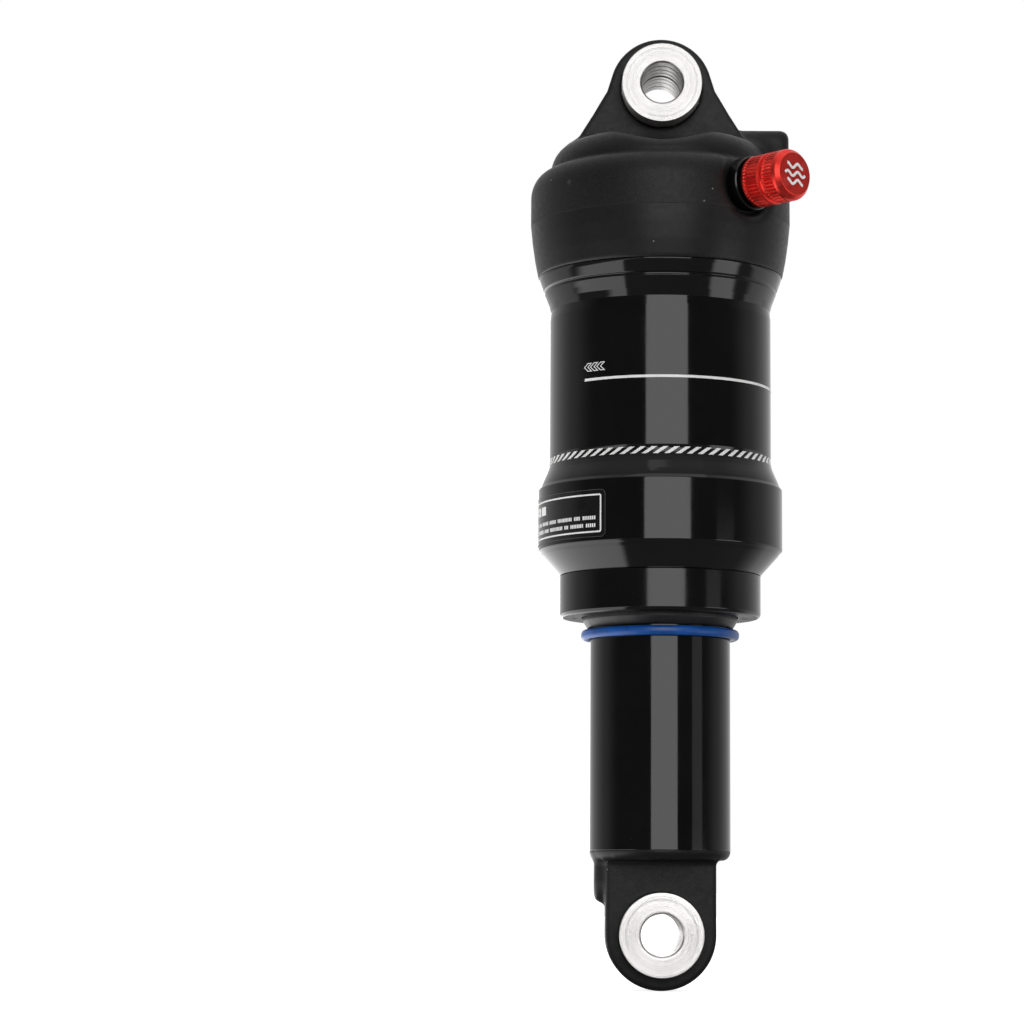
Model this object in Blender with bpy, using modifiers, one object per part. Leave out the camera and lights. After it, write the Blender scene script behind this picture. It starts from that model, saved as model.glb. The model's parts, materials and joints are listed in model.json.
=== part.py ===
"""Bicycle rear shock: an air spring around an oil damper, as separate parts.

Frame: +Z runs along the shock's axis from the lower eye to the upper eye.
The eyes' bores run along Y, and the air valve faces +X and -Y.
The origin is the centre of the upper eye.  Dimensions are in millimetres
and every object is made in metres.
"""
import math

import bmesh
import bpy
from mathutils import Matrix, Vector

MM = 0.001

# Driving dimensions of the whole shock
EYE_TO_EYE = 165.0
GAP = 0.3               # clearance between pieces that touch
RUNNING_GAP = 0.25      # clearance between a seal and what slides in it
LOWER_EYE_Z = -EYE_TO_EYE

# Eyelets and their mounting hardware
EYELET_WIDTH = 12.0
HARDWARE_WIDTH = 22.2
BOLT_BORE_R = 4.0
BOLT_CHAMFER = 0.3
BUSH_INNER_R = 6.35
BUSH_OUTER_R = 7.5
EYE_BORE_R = BUSH_OUTER_R + GAP
UPPER_FLANGE_R = 7.8
LOWER_FLANGE_R = 8.05
UPPER_EYE_R = 10.0
LOWER_EYE_R = 10.6

# Head: the upper eyelet and the cap of the air chamber in one piece
HEAD_R = 25.5
DOME_TOP_Z = -10.6
DOME_R = 21.6
DOME_FLAT_R = 17.0
STEP_Z = -16.15
SHOULDER_Z = -21.15
HEAD_TAPER_Z = -26.5
HEAD_BOTTOM_Z = -37.0
HEAD_BOTTOM_R = 24.0
HEAD_CAVITY_R = 16.5
HEAD_CAVITY_TOP_Z = -17.0
SHAFT_BOSS_R = 8.0
SHAFT_BOSS_BOTTOM_Z = -30.7
SPIGOT_THREAD_R = 20.6
SPIGOT_THREAD_END_Z = -40.2
SPIGOT_R = 19.3
SPIGOT_BOTTOM_Z = -43.6
POCKET_R = 13.8
BLOCK_TOP_Z = -7.0
BLOCK_R = 25.45
BLOCK_CORNER = 1.5

# Air valve: its axis is level and crosses the shock's axis
VALVE_AZIMUTH = math.radians(42.0)
VALVE_Z = -21.8
VALVE_RECESS_R = 5.7
VALVE_RECESS_FLOOR = 23.2
VALVE_BORE_R = 2.9
VALVE_STEM_R = 3.85
VALVE_FLANGE_R = 5.2
VALVE_FLANGE_END = 26.1
VALVE_STEM_END = 34.2
CAP_R = 4.95
CAP_START = 27.0
CAP_END = 36.7

# Air can
CAN_R = 21.35
CAN_BORE_R = 19.6
CAN_TOP_Z = HEAD_BOTTOM_Z - GAP
CAN_TAPER_END_Z = -45.6
CAN_FLARE_Z = -72.6
CAN_FLARE_END_Z = -79.0
CAN_BULGE_R = 23.5
CAN_BULGE_END_Z = -91.0
CAN_BOTTOM_R = 19.35
CAN_BOTTOM_Z = -95.6
CAN_THREAD_R = 18.5

# Seal head, screwed into the lower end of the can
COLLAR_R = 19.55
COLLAR_BOTTOM_Z = -104.0
SEAL_HEAD_TOP_Z = -89.3
WIPER_LIP_Z = -106.1
WIPER_R = 15.0
WIPER_LIP_R = 14.3
SPANNER_HOLE_R = 0.5
SPANNER_HOLE_CIRCLE_R = 16.5

# Damper body
TUBE_R = 13.6
TUBE_BORE_R = 11.8
TUBE_TOP_Z = -86.3
TUBE_BOTTOM_Z = -148.5
SHAFT_R = 4.75
SHAFT_POST_R = 3.0
SHAFT_SHOULDER_Z = -90.9
SHAFT_END_Z = -103.0
AIR_PISTON_TOP_Z = -79.0
AIR_PISTON_BOTTOM_Z = -86.0
AIR_PISTON_R = CAN_BORE_R - GAP
BEARING_HUB_TOP_Z = -73.5
BEARING_NECK_BOTTOM_Z = -90.4
EYELET_SPIGOT_TOP_Z = -144.2
DISC_BOTTOM_Z = -150.8
DISC_BOTTOM_R = 12.0
FLOATING_PISTON_TOP_Z = -133.0
FLOATING_PISTON_HEIGHT = 5.0
RING_SECTION_HEIGHT = 1.9
RING_OUTER_R = 15.35
FILL_PORT_Y = 0.8
FILL_PORT_Z = -154.2
FILL_BOSS_R = 4.4
FILL_BOSS_X = -12.7

# Steps around a turned piece, by its size
LARGE = 32
MEDIUM = 24
SMALL = 16

PARTS = "rear_shock"
CUTTERS = "rear_shock_cutters"

FINISHES = {
    # name: (colour, roughness, metallic)
    "matte_black": ((0.035, 0.035, 0.037), 0.55, 0.6),
    "gloss_black": ((0.012, 0.012, 0.013), 0.12, 0.7),
    "satin_aluminium": ((0.86, 0.86, 0.85), 0.28, 1.0),
    "red_anodised": ((0.75, 0.03, 0.02), 0.25, 0.9),
    "blue_rubber": ((0.03, 0.13, 0.55), 0.40, 0.0),
    "black_rubber": ((0.02, 0.02, 0.02), 0.60, 0.0),
    "bumper_rubber": ((0.55, 0.42, 0.12), 0.55, 0.0),
    "bronze": ((0.55, 0.38, 0.18), 0.38, 1.0),
    "brass": ((0.72, 0.53, 0.22), 0.30, 1.0),
    "steel": ((0.60, 0.60, 0.62), 0.25, 1.0),
    "plain_aluminium": ((0.70, 0.70, 0.72), 0.35, 1.0),
    "white_plastic": ((0.80, 0.80, 0.77), 0.45, 0.0),
}


def clear_scene():
    for obj in list(bpy.data.objects):
        bpy.data.objects.remove(obj, do_unlink=True)


def collection(name):
    made = bpy.data.collections.new(name)
    bpy.context.scene.collection.children.link(made)
    return made


def material(part_name, finish):
    color, roughness, metallic = FINISHES[finish]
    made = bpy.data.materials.new(part_name)
    made.use_nodes = True
    shader = made.node_tree.nodes["Principled BSDF"]
    shader.inputs["Base Color"].default_value = (*color, 1.0)
    shader.inputs["Roughness"].default_value = roughness
    shader.inputs["Metallic"].default_value = metallic
    made.diffuse_color = (*color, 1.0)
    return made


def finished(obj, finish):
    """Smooth shading, a material of its own and a place in the parts collection."""
    obj.data.shade_smooth()
    obj.data.set_sharp_from_angle(angle=math.radians(32.0))
    obj.data.materials.clear()
    obj.data.materials.append(material(obj.name, finish))
    bpy.data.collections[PARTS].objects.link(obj)
    return obj


def as_cutter(obj):
    obj.hide_render = True
    obj.display_type = "WIRE"
    bpy.data.collections[CUTTERS].objects.link(obj)
    return obj


def baked(obj, name):
    """A plain mesh object with obj's modifiers or curve applied, in obj's place."""
    bpy.context.scene.collection.objects.link(obj)
    bpy.context.view_layer.update()
    graph = bpy.context.evaluated_depsgraph_get()
    mesh = bpy.data.meshes.new_from_object(obj.evaluated_get(graph))
    mesh.name = name
    work = bmesh.new()
    work.from_mesh(mesh)
    bmesh.ops.remove_doubles(work, verts=work.verts, dist=1e-6)
    work.to_mesh(mesh)
    work.free()
    result = bpy.data.objects.new(name, mesh)
    result.matrix_world = obj.matrix_world.copy()
    bpy.data.objects.remove(obj, do_unlink=True)
    return result


def arc(center_r, center_z, radius_r, radius_z, start, end, count):
    """Points of an elliptical arc in a profile, angles in degrees."""
    points = []
    for index in range(count + 1):
        angle = math.radians(start + (end - start) * index / count)
        points.append((center_r + radius_r * math.cos(angle),
                       center_z + radius_z * math.sin(angle)))
    return points


def ring_section(inner_r, outer_r, low_z, high_z, count=10):
    """A round section between two radii and two heights, clockwise from the top."""
    middle_r = (inner_r + outer_r) / 2.0
    middle_z = (low_z + high_z) / 2.0
    return arc(middle_r, middle_z, (outer_r - inner_r) / 2.0, (high_z - low_z) / 2.0,
               90.0, -270.0 + 360.0 / count, count - 1)


def box_section(inner_r, outer_r, low_z, high_z, chamfer=0.0):
    """A rectangular section, with its outer corners cut by a chamfer if given."""
    if not chamfer:
        return [(outer_r, high_z), (outer_r, low_z), (inner_r, low_z), (inner_r, high_z)]
    return [(outer_r - chamfer, high_z), (outer_r, high_z - chamfer),
            (outer_r, low_z + chamfer), (outer_r - chamfer, low_z),
            (inner_r, low_z), (inner_r, high_z)]


def turned(name, profile, steps, closed=True, frame=None):
    """A solid of revolution about local Z.

    The profile's points are (radius, height), clockwise: down the outer side
    and up the inner one.  An open profile starts and ends on the axis.
    """
    mesh = bpy.data.meshes.new(name + "_profile")
    points = [(r * MM, 0.0, z * MM) for r, z in profile]
    edges = [(i, i + 1) for i in range(len(points) - 1)]
    if closed:
        edges.append((len(points) - 1, 0))
    mesh.from_pydata(points, edges, [])
    obj = bpy.data.objects.new(name + "_profile", mesh)
    screw = obj.modifiers.new("Screw", "SCREW")
    screw.axis = "Z"
    screw.steps = steps
    screw.render_steps = steps
    screw.use_merge_vertices = True
    screw.merge_threshold = 1e-6
    screw.use_smooth_shade = True
    if frame is not None:
        obj.matrix_world = frame
    return baked(obj, name)


def extruded(name, outline, half_depth, frame):
    """A flat outline in local XY, given half_depth on each side of its plane."""
    curve = bpy.data.curves.new(name + "_outline", "CURVE")
    curve.dimensions = "2D"
    curve.fill_mode = "BOTH"
    curve.extrude = half_depth * MM
    spline = curve.splines.new("POLY")
    spline.points.add(len(outline) - 1)
    for point, (x, y) in zip(spline.points, outline):
        point.co = (x * MM, y * MM, 0.0, 1.0)
    spline.use_cyclic_u = True
    obj = bpy.data.objects.new(name + "_outline", curve)
    obj.matrix_world = frame
    return baked(obj, name)


def block(name, low, high):
    """A box between two corners, with its origin at its middle."""
    mesh = bpy.data.meshes.new(name)
    work = bmesh.new()
    bmesh.ops.create_cube(work, size=1.0)
    size = [(b - a) * MM for a, b in zip(low, high)]
    bmesh.ops.scale(work, vec=size, verts=work.verts)
    work.to_mesh(mesh)
    work.free()
    obj = bpy.data.objects.new(name, mesh)
    obj.location = [(a + b) / 2.0 * MM for a, b in zip(low, high)]
    return obj


def rod(name, radius, start, end, frame, steps=SMALL):
    """A plain cylinder about the frame's local Z."""
    return turned(name, [(0.0, end), (radius, end), (radius, start), (0.0, start)],
                  steps, closed=False, frame=frame)


def boolean(obj, other, operation):
    modifier = obj.modifiers.new(operation.title() + " " + other.name, "BOOLEAN")
    modifier.operation = operation
    modifier.solver = "EXACT"
    modifier.object = other


def cut(obj, *cutters):
    for cutter in cutters:
        boolean(obj, as_cutter(cutter), "DIFFERENCE")


def joined(obj, *others):
    for other in others:
        boolean(obj, as_cutter(other), "UNION")


def parent_to(children, empty):
    """Parents pieces to an empty and keeps them where they are."""
    bpy.context.view_layer.update()
    for child in children:
        child.parent = empty
        child.matrix_parent_inverse = empty.matrix_world.inverted()


def joint_empty(name, location, rotation=None):
    empty = bpy.data.objects.new(name, None)
    empty.empty_display_size = 0.01
    empty.matrix_world = Matrix.Translation(location) @ (rotation or Matrix.Identity(4))
    bpy.data.collections[PARTS].objects.link(empty)
    return empty


def along_y(height, toward=-1.0):
    """A frame whose local Z runs along Y, at a height on the shock's axis."""
    turn = Matrix.Rotation(math.radians(-90.0 * toward), 4, "X")
    return Matrix.Translation((0.0, 0.0, height * MM)) @ turn


def valve_frame():
    """Local Z runs out along the air valve, with zero on the shock's axis."""
    direction = Vector((math.sin(VALVE_AZIMUTH), -math.cos(VALVE_AZIMUTH), 0.0))
    turn = direction.to_track_quat("Z", "Y").to_matrix().to_4x4()
    return Matrix.Translation((0.0, 0.0, VALVE_Z * MM)) @ turn


def plate_frame():
    """Local XY becomes world XZ, so outlines are drawn as seen from the front."""
    return Matrix.Rotation(math.radians(90.0), 4, "X")


# ---------------------------------------------------------------- head and can

def head_profile():
    dome = arc(DOME_FLAT_R, STEP_Z, DOME_R - DOME_FLAT_R, DOME_TOP_Z - STEP_Z, 90.0, 0.0, 6)
    shoulder = arc(DOME_R, SHOULDER_Z, HEAD_R - DOME_R, STEP_Z - SHOULDER_Z, 90.0, 0.0, 5)
    skirt = [(HEAD_R, HEAD_TAPER_Z), (HEAD_R - 0.35, -30.0), (HEAD_R - 0.85, -33.5),
             (HEAD_BOTTOM_R, HEAD_BOTTOM_Z + 0.2), (HEAD_BOTTOM_R - 0.2, HEAD_BOTTOM_Z)]
    spigot = [(SPIGOT_THREAD_R, HEAD_BOTTOM_Z), (SPIGOT_THREAD_R, SPIGOT_THREAD_END_Z),
              (SPIGOT_R, SPIGOT_THREAD_END_Z), (SPIGOT_R, -40.8), (17.9, -40.8),
              (17.9, -42.9), (SPIGOT_R, -42.9), (SPIGOT_R, SPIGOT_BOTTOM_Z)]
    inside = [(HEAD_CAVITY_R, SPIGOT_BOTTOM_Z), (HEAD_CAVITY_R, HEAD_CAVITY_TOP_Z - 1.5),
              (HEAD_CAVITY_R - 1.5, HEAD_CAVITY_TOP_Z), (SHAFT_BOSS_R, HEAD_CAVITY_TOP_Z),
              (SHAFT_BOSS_R, SHAFT_BOSS_BOTTOM_Z), (4.5, SHAFT_BOSS_BOTTOM_Z), (4.5, -20.0)]
    return [(0.0, DOME_TOP_Z)] + dome + shoulder[1:] + skirt + spigot + inside + [(0.0, -20.0)]


def head_plate_outline():
    """The eyelet's plate: a round top with flanks that flare into the dome."""
    top = arc(0.0, 0.0, UPPER_EYE_R, UPPER_EYE_R, 15.0, 165.0, 14)
    left_flank = [(-10.6, -0.4), (-11.9, -2.6), (-13.4, -5.2), (-15.15, -8.0), (-16.6, -10.4)]
    right_flank = [(-x, z) for x, z in reversed(left_flank)]
    return top + left_flank + [(-17.5, -12.0), (17.5, -12.0)] + right_flank


def eyelet_head():
    head = turned("eyelet_head", head_profile(), LARGE, closed=False)
    plate = extruded("head_plate", head_plate_outline(), EYELET_WIDTH / 2.0, plate_frame())
    corner = turned("head_block", [(0.0, BLOCK_TOP_Z), (BLOCK_R - BLOCK_CORNER, BLOCK_TOP_Z)]
                    + arc(BLOCK_R - BLOCK_CORNER, BLOCK_TOP_Z - BLOCK_CORNER,
                          BLOCK_CORNER, BLOCK_CORNER, 60.0, 0.0, 3)
                    + [(BLOCK_R, -24.0), (0.0, -24.0)], LARGE, closed=False)
    limits = as_cutter(block("head_block_limits", (13.0, -2.0, -23.0), (27.0, 14.0, -4.0)))
    rounding = limits.modifiers.new("Bevel", "BEVEL")
    rounding.width = BLOCK_CORNER * MM
    rounding.segments = 2
    boolean(corner, limits, "INTERSECT")
    joined(head, plate, corner)
    half = EYELET_WIDTH / 2.0
    cut(head,
        rod("front_pocket", POCKET_R, half, 30.0, along_y(0.0), MEDIUM),
        rod("rear_pocket", POCKET_R, half, 30.0, along_y(0.0, 1.0), MEDIUM),
        rod("upper_eye_bore", EYE_BORE_R, -30.0, 30.0, along_y(0.0), MEDIUM),
        rod("valve_recess", VALVE_RECESS_R, VALVE_RECESS_FLOOR, 30.0, valve_frame()),
        rod("valve_bore", VALVE_BORE_R, 12.0, 25.0, valve_frame()))
    return finished(head, "matte_black")


def can_profile():
    taper = [(23.8, CAN_TOP_Z), (23.6, -37.8), (22.95, -39.6), (22.6, -39.75),
             (22.6, -40.1), (22.75, -40.25), (22.3, -41.4), (21.85, -42.6), (21.5, -44.0)]
    flare = [(21.6, -74.1), (22.15, -75.7), (22.85, -77.3), (23.3, -78.6)]
    cone = [(CAN_BULGE_R, CAN_BULGE_END_Z), (23.3, CAN_BULGE_END_Z - 0.4), (19.55, -95.3)]
    outside = (taper + [(CAN_R, CAN_TAPER_END_Z), (CAN_R, CAN_FLARE_Z)] + flare
               + [(CAN_BULGE_R, CAN_FLARE_END_Z)] + cone + [(CAN_BOTTOM_R, CAN_BOTTOM_Z)])
    inside = [(CAN_THREAD_R, CAN_BOTTOM_Z), (CAN_THREAD_R, -89.2), (21.3, -89.0),
              (21.3, -86.9), (CAN_BORE_R, -86.3), (CAN_BORE_R, -40.9), (20.9, -40.5),
              (20.9, CAN_TOP_Z)]
    return outside + inside


def air_can():
    return finished(turned("air_can", can_profile(), LARGE), "gloss_black")


def seal_head():
    land_r = TUBE_R + 0.45
    wiper_bore_r = WIPER_R + GAP
    profile = [(18.2, SEAL_HEAD_TOP_Z), (18.2, -91.0), (16.9, -91.0), (16.9, -93.4),
               (18.2, -93.4), (18.2, CAN_BOTTOM_Z - GAP), (19.3, CAN_BOTTOM_Z - GAP),
               (COLLAR_R, -96.2), (COLLAR_R, COLLAR_BOTTOM_Z + 0.7), (19.35, COLLAR_BOTTOM_Z + 0.25),
               (18.95, COLLAR_BOTTOM_Z),
               (wiper_bore_r, COLLAR_BOTTOM_Z), (wiper_bore_r, -101.4), (land_r, -101.4),
               (land_r, -100.6),
               (16.6, -100.6), (16.6, -97.0), (land_r, -97.0), (land_r, -96.0),
               (15.3, -96.0), (15.3, -90.4), (land_r, -90.4), (land_r, SEAL_HEAD_TOP_Z)]
    head = turned("seal_head", profile, LARGE)
    for index, side in enumerate((-1.0, 1.0)):
        place = Matrix.Translation((side * SPANNER_HOLE_CIRCLE_R * MM, 0.0, 0.0))
        cut(head, rod("spanner_hole_%d" % (index + 1), SPANNER_HOLE_R, -105.0, -101.6, place, 16))
    return finished(head, "gloss_black")


def can_seals():
    """The rings, bushes and bumpers that the head and the can hold."""
    tube_gap_r = TUBE_R + RUNNING_GAP
    wiper = [(WIPER_R, -101.7), (WIPER_R, -104.6), (14.8, -105.3), (WIPER_LIP_R, -105.9),
             (WIPER_LIP_R - 0.15, WIPER_LIP_Z), (tube_gap_r, WIPER_LIP_Z), (tube_gap_r, -101.7)]
    return [
        finished(turned("head_o_ring", ring_section(18.1, 19.4, -42.6, -41.1, 6), MEDIUM),
                 "black_rubber"),
        finished(turned("seal_head_o_ring", ring_section(17.1, 18.3, -93.0, -91.4, 6), MEDIUM),
                 "black_rubber"),
        finished(turned("guide_bush", box_section(tube_gap_r, 15.0, -95.7, -90.7), MEDIUM),
                 "bronze"),
        finished(turned("main_air_seal", ring_section(tube_gap_r, 16.3, -99.3, -97.3, 6), MEDIUM),
                 "black_rubber"),
        finished(turned("seal_backup_ring", box_section(tube_gap_r, 16.3, -100.3, -99.6), MEDIUM),
                 "white_plastic"),
        finished(turned("dust_wiper", wiper, LARGE), "black_rubber"),
        finished(turned("top_out_bumper", box_section(14.0, 18.4, -89.0, -86.3, 0.5), MEDIUM),
                 "bumper_rubber"),
        finished(turned("bottom_out_bumper", box_section(5.1, 9.0, -37.4, -31.3, 0.8), SMALL),
                 "bumper_rubber"),
    ]


# ------------------------------------------------------------ mounting hardware

def eye_bush(name, height):
    half = EYELET_WIDTH / 2.0 - 0.2
    section = box_section(BUSH_INNER_R, BUSH_OUTER_R, -half, half)
    return finished(turned(name, section, MEDIUM, frame=along_y(height)), "bronze")


def spacer(name, height, flange_r, toward):
    """One flanged reducer: a spigot in the bush and a flange outside the eyelet."""
    spigot_r = BUSH_INNER_R - GAP
    start = GAP / 2.0
    face = EYELET_WIDTH / 2.0 + GAP
    end = HARDWARE_WIDTH / 2.0
    profile = [(BOLT_BORE_R + BOLT_CHAMFER, end), (flange_r - 0.2, end), (flange_r, end - 0.2),
               (flange_r, face), (spigot_r, face), (spigot_r, start), (BOLT_BORE_R, start),
               (BOLT_BORE_R, end - BOLT_CHAMFER)]
    return finished(turned(name, profile, MEDIUM, frame=along_y(height, toward)),
                    "satin_aluminium")


def eye_hardware(prefix, height, flange_r):
    pair = [spacer(prefix + "_spacer_front", height, flange_r, -1.0),
            spacer(prefix + "_spacer_rear", height, flange_r, 1.0)]
    parent_to(pair, joint_empty(prefix + "_eye_pivot_axis", (0.0, 0.0, height * MM)))
    return pair


# -------------------------------------------------------------------- air valve

def air_valve():
    place = valve_frame()
    flange_start = VALVE_RECESS_FLOOR + GAP
    body = [(3.2, VALVE_STEM_END), (VALVE_STEM_R, VALVE_STEM_END - 0.65),
            (VALVE_STEM_R, VALVE_FLANGE_END), (VALVE_FLANGE_R - 0.2, VALVE_FLANGE_END),
            (VALVE_FLANGE_R, VALVE_FLANGE_END - 0.2), (VALVE_FLANGE_R, flange_start),
            (2.6, flange_start), (2.6, 19.8), (2.0, 19.8), (2.0, 18.2), (2.6, 18.2),
            (2.6, 15.5), (1.2, 15.5), (1.2, 22.0), (2.3, 22.0), (2.3, VALVE_STEM_END)]
    barrel = box_section(0.95, 2.0, 26.8, 33.6)
    pin = [(0.0, 33.8), (0.6, 33.8), (0.6, 26.4), (1.5, 26.4), (1.5, 25.6), (0.0, 25.6)]
    finished(turned("air_valve_body", body, SMALL, frame=place), "gloss_black")
    finished(turned("valve_body_o_ring", ring_section(2.1, 2.75, 18.4, 19.6, 6), SMALL,
                    frame=place), "black_rubber")
    finished(turned("valve_core_barrel", barrel, SMALL, frame=place), "brass")
    finished(turned("valve_core_pin", pin, 16, closed=False, frame=place), "brass")


def valve_cap():
    cavity_r = VALVE_STEM_R + GAP
    cavity_end = CAP_END - 1.2
    groove = [(CAP_R, 32.45), (4.45, 32.1), (4.45, 31.7), (CAP_R, 31.35)]
    profile = ([(0.0, CAP_END), (3.9, CAP_END), (CAP_R - 0.2, CAP_END - 0.7), (CAP_R, CAP_END - 1.2)]
               + groove + [(CAP_R, CAP_START + 0.3), (CAP_R - 0.3, CAP_START),
                           (cavity_r, CAP_START), (cavity_r, cavity_end), (0.0, cavity_end)])
    seal = [(0.0, cavity_end - GAP), (3.7, cavity_end - GAP),
            (3.7, VALVE_STEM_END + GAP), (0.0, VALVE_STEM_END + GAP)]
    finished(turned("valve_cap", profile, MEDIUM, closed=False, frame=valve_frame()),
             "red_anodised")
    finished(turned("valve_cap_seal", seal, SMALL, closed=False, frame=valve_frame()),
             "black_rubber")


# ----------------------------------------------------- shaft, piston and shims

def damper_shaft():
    profile = [(0.0, -20.3), (4.2, -20.3), (4.2, SHAFT_BOSS_BOTTOM_Z - GAP),
               (SHAFT_R, SHAFT_BOSS_BOTTOM_Z - GAP), (SHAFT_R, SHAFT_SHOULDER_Z),
               (SHAFT_POST_R, SHAFT_SHOULDER_Z), (SHAFT_POST_R, SHAFT_END_Z), (0.0, SHAFT_END_Z)]
    return finished(turned("damper_shaft", profile, SMALL, closed=False), "steel")


def main_piston():
    bore_r = SHAFT_POST_R + GAP
    outer_r = TUBE_BORE_R - GAP
    profile = [(outer_r, -92.3), (outer_r, -93.9), (10.4, -93.9), (10.4, -96.7),
               (outer_r, -96.7), (outer_r, -98.0), (bore_r, -98.0), (bore_r, -92.3)]
    piston = turned("main_piston", profile, SMALL)
    port_circle_r = 7.0
    port_r = 1.2
    for index in range(6):
        angle = math.radians(60.0 * index)
        place = Matrix.Translation((port_circle_r * math.cos(angle) * MM,
                                    port_circle_r * math.sin(angle) * MM, 0.0))
        cut(piston, rod("piston_port_%d" % (index + 1), port_r, -99.0, -91.0, place, 12))
    return finished(piston, "plain_aluminium")


def piston_stack():
    """The glide band, the shims above and below the piston, and the nut."""
    bore_r = SHAFT_POST_R + GAP
    shim_height = 0.25
    pitch = shim_height + GAP
    finished(turned("piston_glide_band", box_section(10.7, TUBE_BORE_R - 0.15, -96.4, -94.2),
                    SMALL), "bronze")
    for index, radius in enumerate((8.0, 9.5)):
        top = -91.2 - pitch * index
        finished(turned("rebound_shim_%d" % (index + 1),
                        box_section(bore_r, radius, top - shim_height, top), SMALL), "steel")
    for index, radius in enumerate((9.5, 8.0, 6.5)):
        top = -98.3 - pitch * index
        finished(turned("compression_shim_%d" % (index + 1),
                        box_section(bore_r, radius, top - shim_height, top), SMALL), "steel")
    nut = turned("piston_nut", [(0.0, -99.95), (5.6, -99.95), (5.6, -102.6), (0.0, -102.6)],
                 6, closed=False)
    cut(nut, rod("piston_nut_bore", bore_r, -104.0, -99.0, Matrix.Identity(4)))
    finished(nut, "steel")


# ----------------------------------------------------------------- damper body

def bearing_head():
    """The air piston, whose neck closes the top of the damper tube."""
    neck_r = TUBE_BORE_R - GAP
    profile = [(12.0, BEARING_HUB_TOP_Z), (12.5, BEARING_HUB_TOP_Z - 0.5),
               (12.5, AIR_PISTON_TOP_Z), (AIR_PISTON_R, AIR_PISTON_TOP_Z),
               (AIR_PISTON_R, -80.0), (17.0, -80.0), (17.0, -82.9), (AIR_PISTON_R, -82.9),
               (AIR_PISTON_R, -83.5), (18.0, -83.5), (18.0, -85.4), (AIR_PISTON_R, -85.4),
               (AIR_PISTON_R, AIR_PISTON_BOTTOM_Z), (neck_r, AIR_PISTON_BOTTOM_Z),
               (neck_r, -87.3), (10.3, -87.3), (10.3, -89.3), (neck_r, -89.3),
               (neck_r, BEARING_NECK_BOTTOM_Z), (5.3, BEARING_NECK_BOTTOM_Z), (5.3, -89.6),
               (7.6, -89.6), (7.6, -86.4), (5.3, -86.4), (5.3, -85.2),
               (6.3, -85.2), (6.3, BEARING_HUB_TOP_Z)]
    return finished(turned("bearing_head", profile, MEDIUM), "plain_aluminium")


def damper_tube():
    profile = [(TUBE_R - 0.2, TUBE_TOP_Z), (TUBE_R, TUBE_TOP_Z - 0.2),
               (TUBE_R, TUBE_BOTTOM_Z), (TUBE_BORE_R, TUBE_BOTTOM_Z), (TUBE_BORE_R, TUBE_TOP_Z)]
    return finished(turned("damper_tube", profile, LARGE), "gloss_black")


def lower_eyelet():
    spigot_r = TUBE_BORE_R - GAP
    disc_top = TUBE_BOTTOM_Z - GAP
    disc_r = TUBE_R - 0.05
    profile = ([(0.0, EYELET_SPIGOT_TOP_Z), (spigot_r, EYELET_SPIGOT_TOP_Z),
                (spigot_r, -144.9), (10.2, -144.9), (10.2, -146.9), (spigot_r, -146.9),
                (spigot_r, disc_top), (disc_r, disc_top)]
               + arc(DISC_BOTTOM_R, disc_top - 0.3, disc_r - DISC_BOTTOM_R,
                     disc_top - 0.3 - DISC_BOTTOM_Z, 0.0, -90.0, 4)
               + [(0.0, DISC_BOTTOM_Z)])
    eyelet = turned("lower_eyelet", profile, LARGE, closed=False)
    plate_top = DISC_BOTTOM_Z + 1.1
    boss_top = DISC_BOTTOM_Z + 0.9
    rounded = arc(0.0, LOWER_EYE_Z, LOWER_EYE_R, LOWER_EYE_R, 180.0, 360.0, 18)
    plate = extruded("lower_plate", rounded + [(LOWER_EYE_R, plate_top), (-LOWER_EYE_R, plate_top)],
                     EYELET_WIDTH / 2.0, plate_frame())
    side_frame = (Matrix.Translation(((FILL_BOSS_X + 3.0) * MM, FILL_PORT_Y * MM, 0.0))
                  @ Matrix.Rotation(math.radians(90.0), 4, "Z") @ plate_frame())
    half_round = arc(0.0, FILL_PORT_Z - 0.3, FILL_BOSS_R, FILL_BOSS_R, 180.0, 360.0, 12)
    boss = extruded("fill_boss", half_round + [(FILL_BOSS_R, boss_top), (-FILL_BOSS_R, boss_top)],
                    3.0, side_frame)
    joined(eyelet, plate, boss)
    port_frame = (Matrix.Translation((0.0, FILL_PORT_Y * MM, FILL_PORT_Z * MM))
                  @ Matrix.Rotation(math.radians(-90.0), 4, "Y"))
    passage = Matrix.Translation((0.0, FILL_PORT_Y * MM, 0.0))
    cut(eyelet,
        rod("lower_eye_bore", EYE_BORE_R, -30.0, 30.0, along_y(LOWER_EYE_Z), MEDIUM),
        rod("fill_screw_hole", 2.1, 6.5, 14.0, port_frame, 24),
        rod("fill_hole", 1.1, -1.0, 7.0, port_frame, 16),
        rod("fill_passage", 0.9, FILL_PORT_Z, -143.0, passage, 16))
    return finished(eyelet, "matte_black")


def fill_port():
    """The grub screw and seal that close the gas chamber's fill port."""
    frame = (Matrix.Translation((0.0, FILL_PORT_Y * MM, FILL_PORT_Z * MM))
             @ Matrix.Rotation(math.radians(-90.0), 4, "Y"))
    screw = turned("fill_port_screw", [(0.0, 12.2), (1.6, 12.2), (1.8, 12.0), (1.8, 8.3),
                                       (0.0, 8.3)], 24, closed=False, frame=frame)
    cut(screw, rod("fill_screw_socket", 0.85, 10.6, 13.0, frame, 6))
    finished(screw, "steel")
    finished(turned("fill_port_seal", ring_section(0.7, 1.8, 6.8, 8.0, 6), SMALL, frame=frame),
             "black_rubber")


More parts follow.
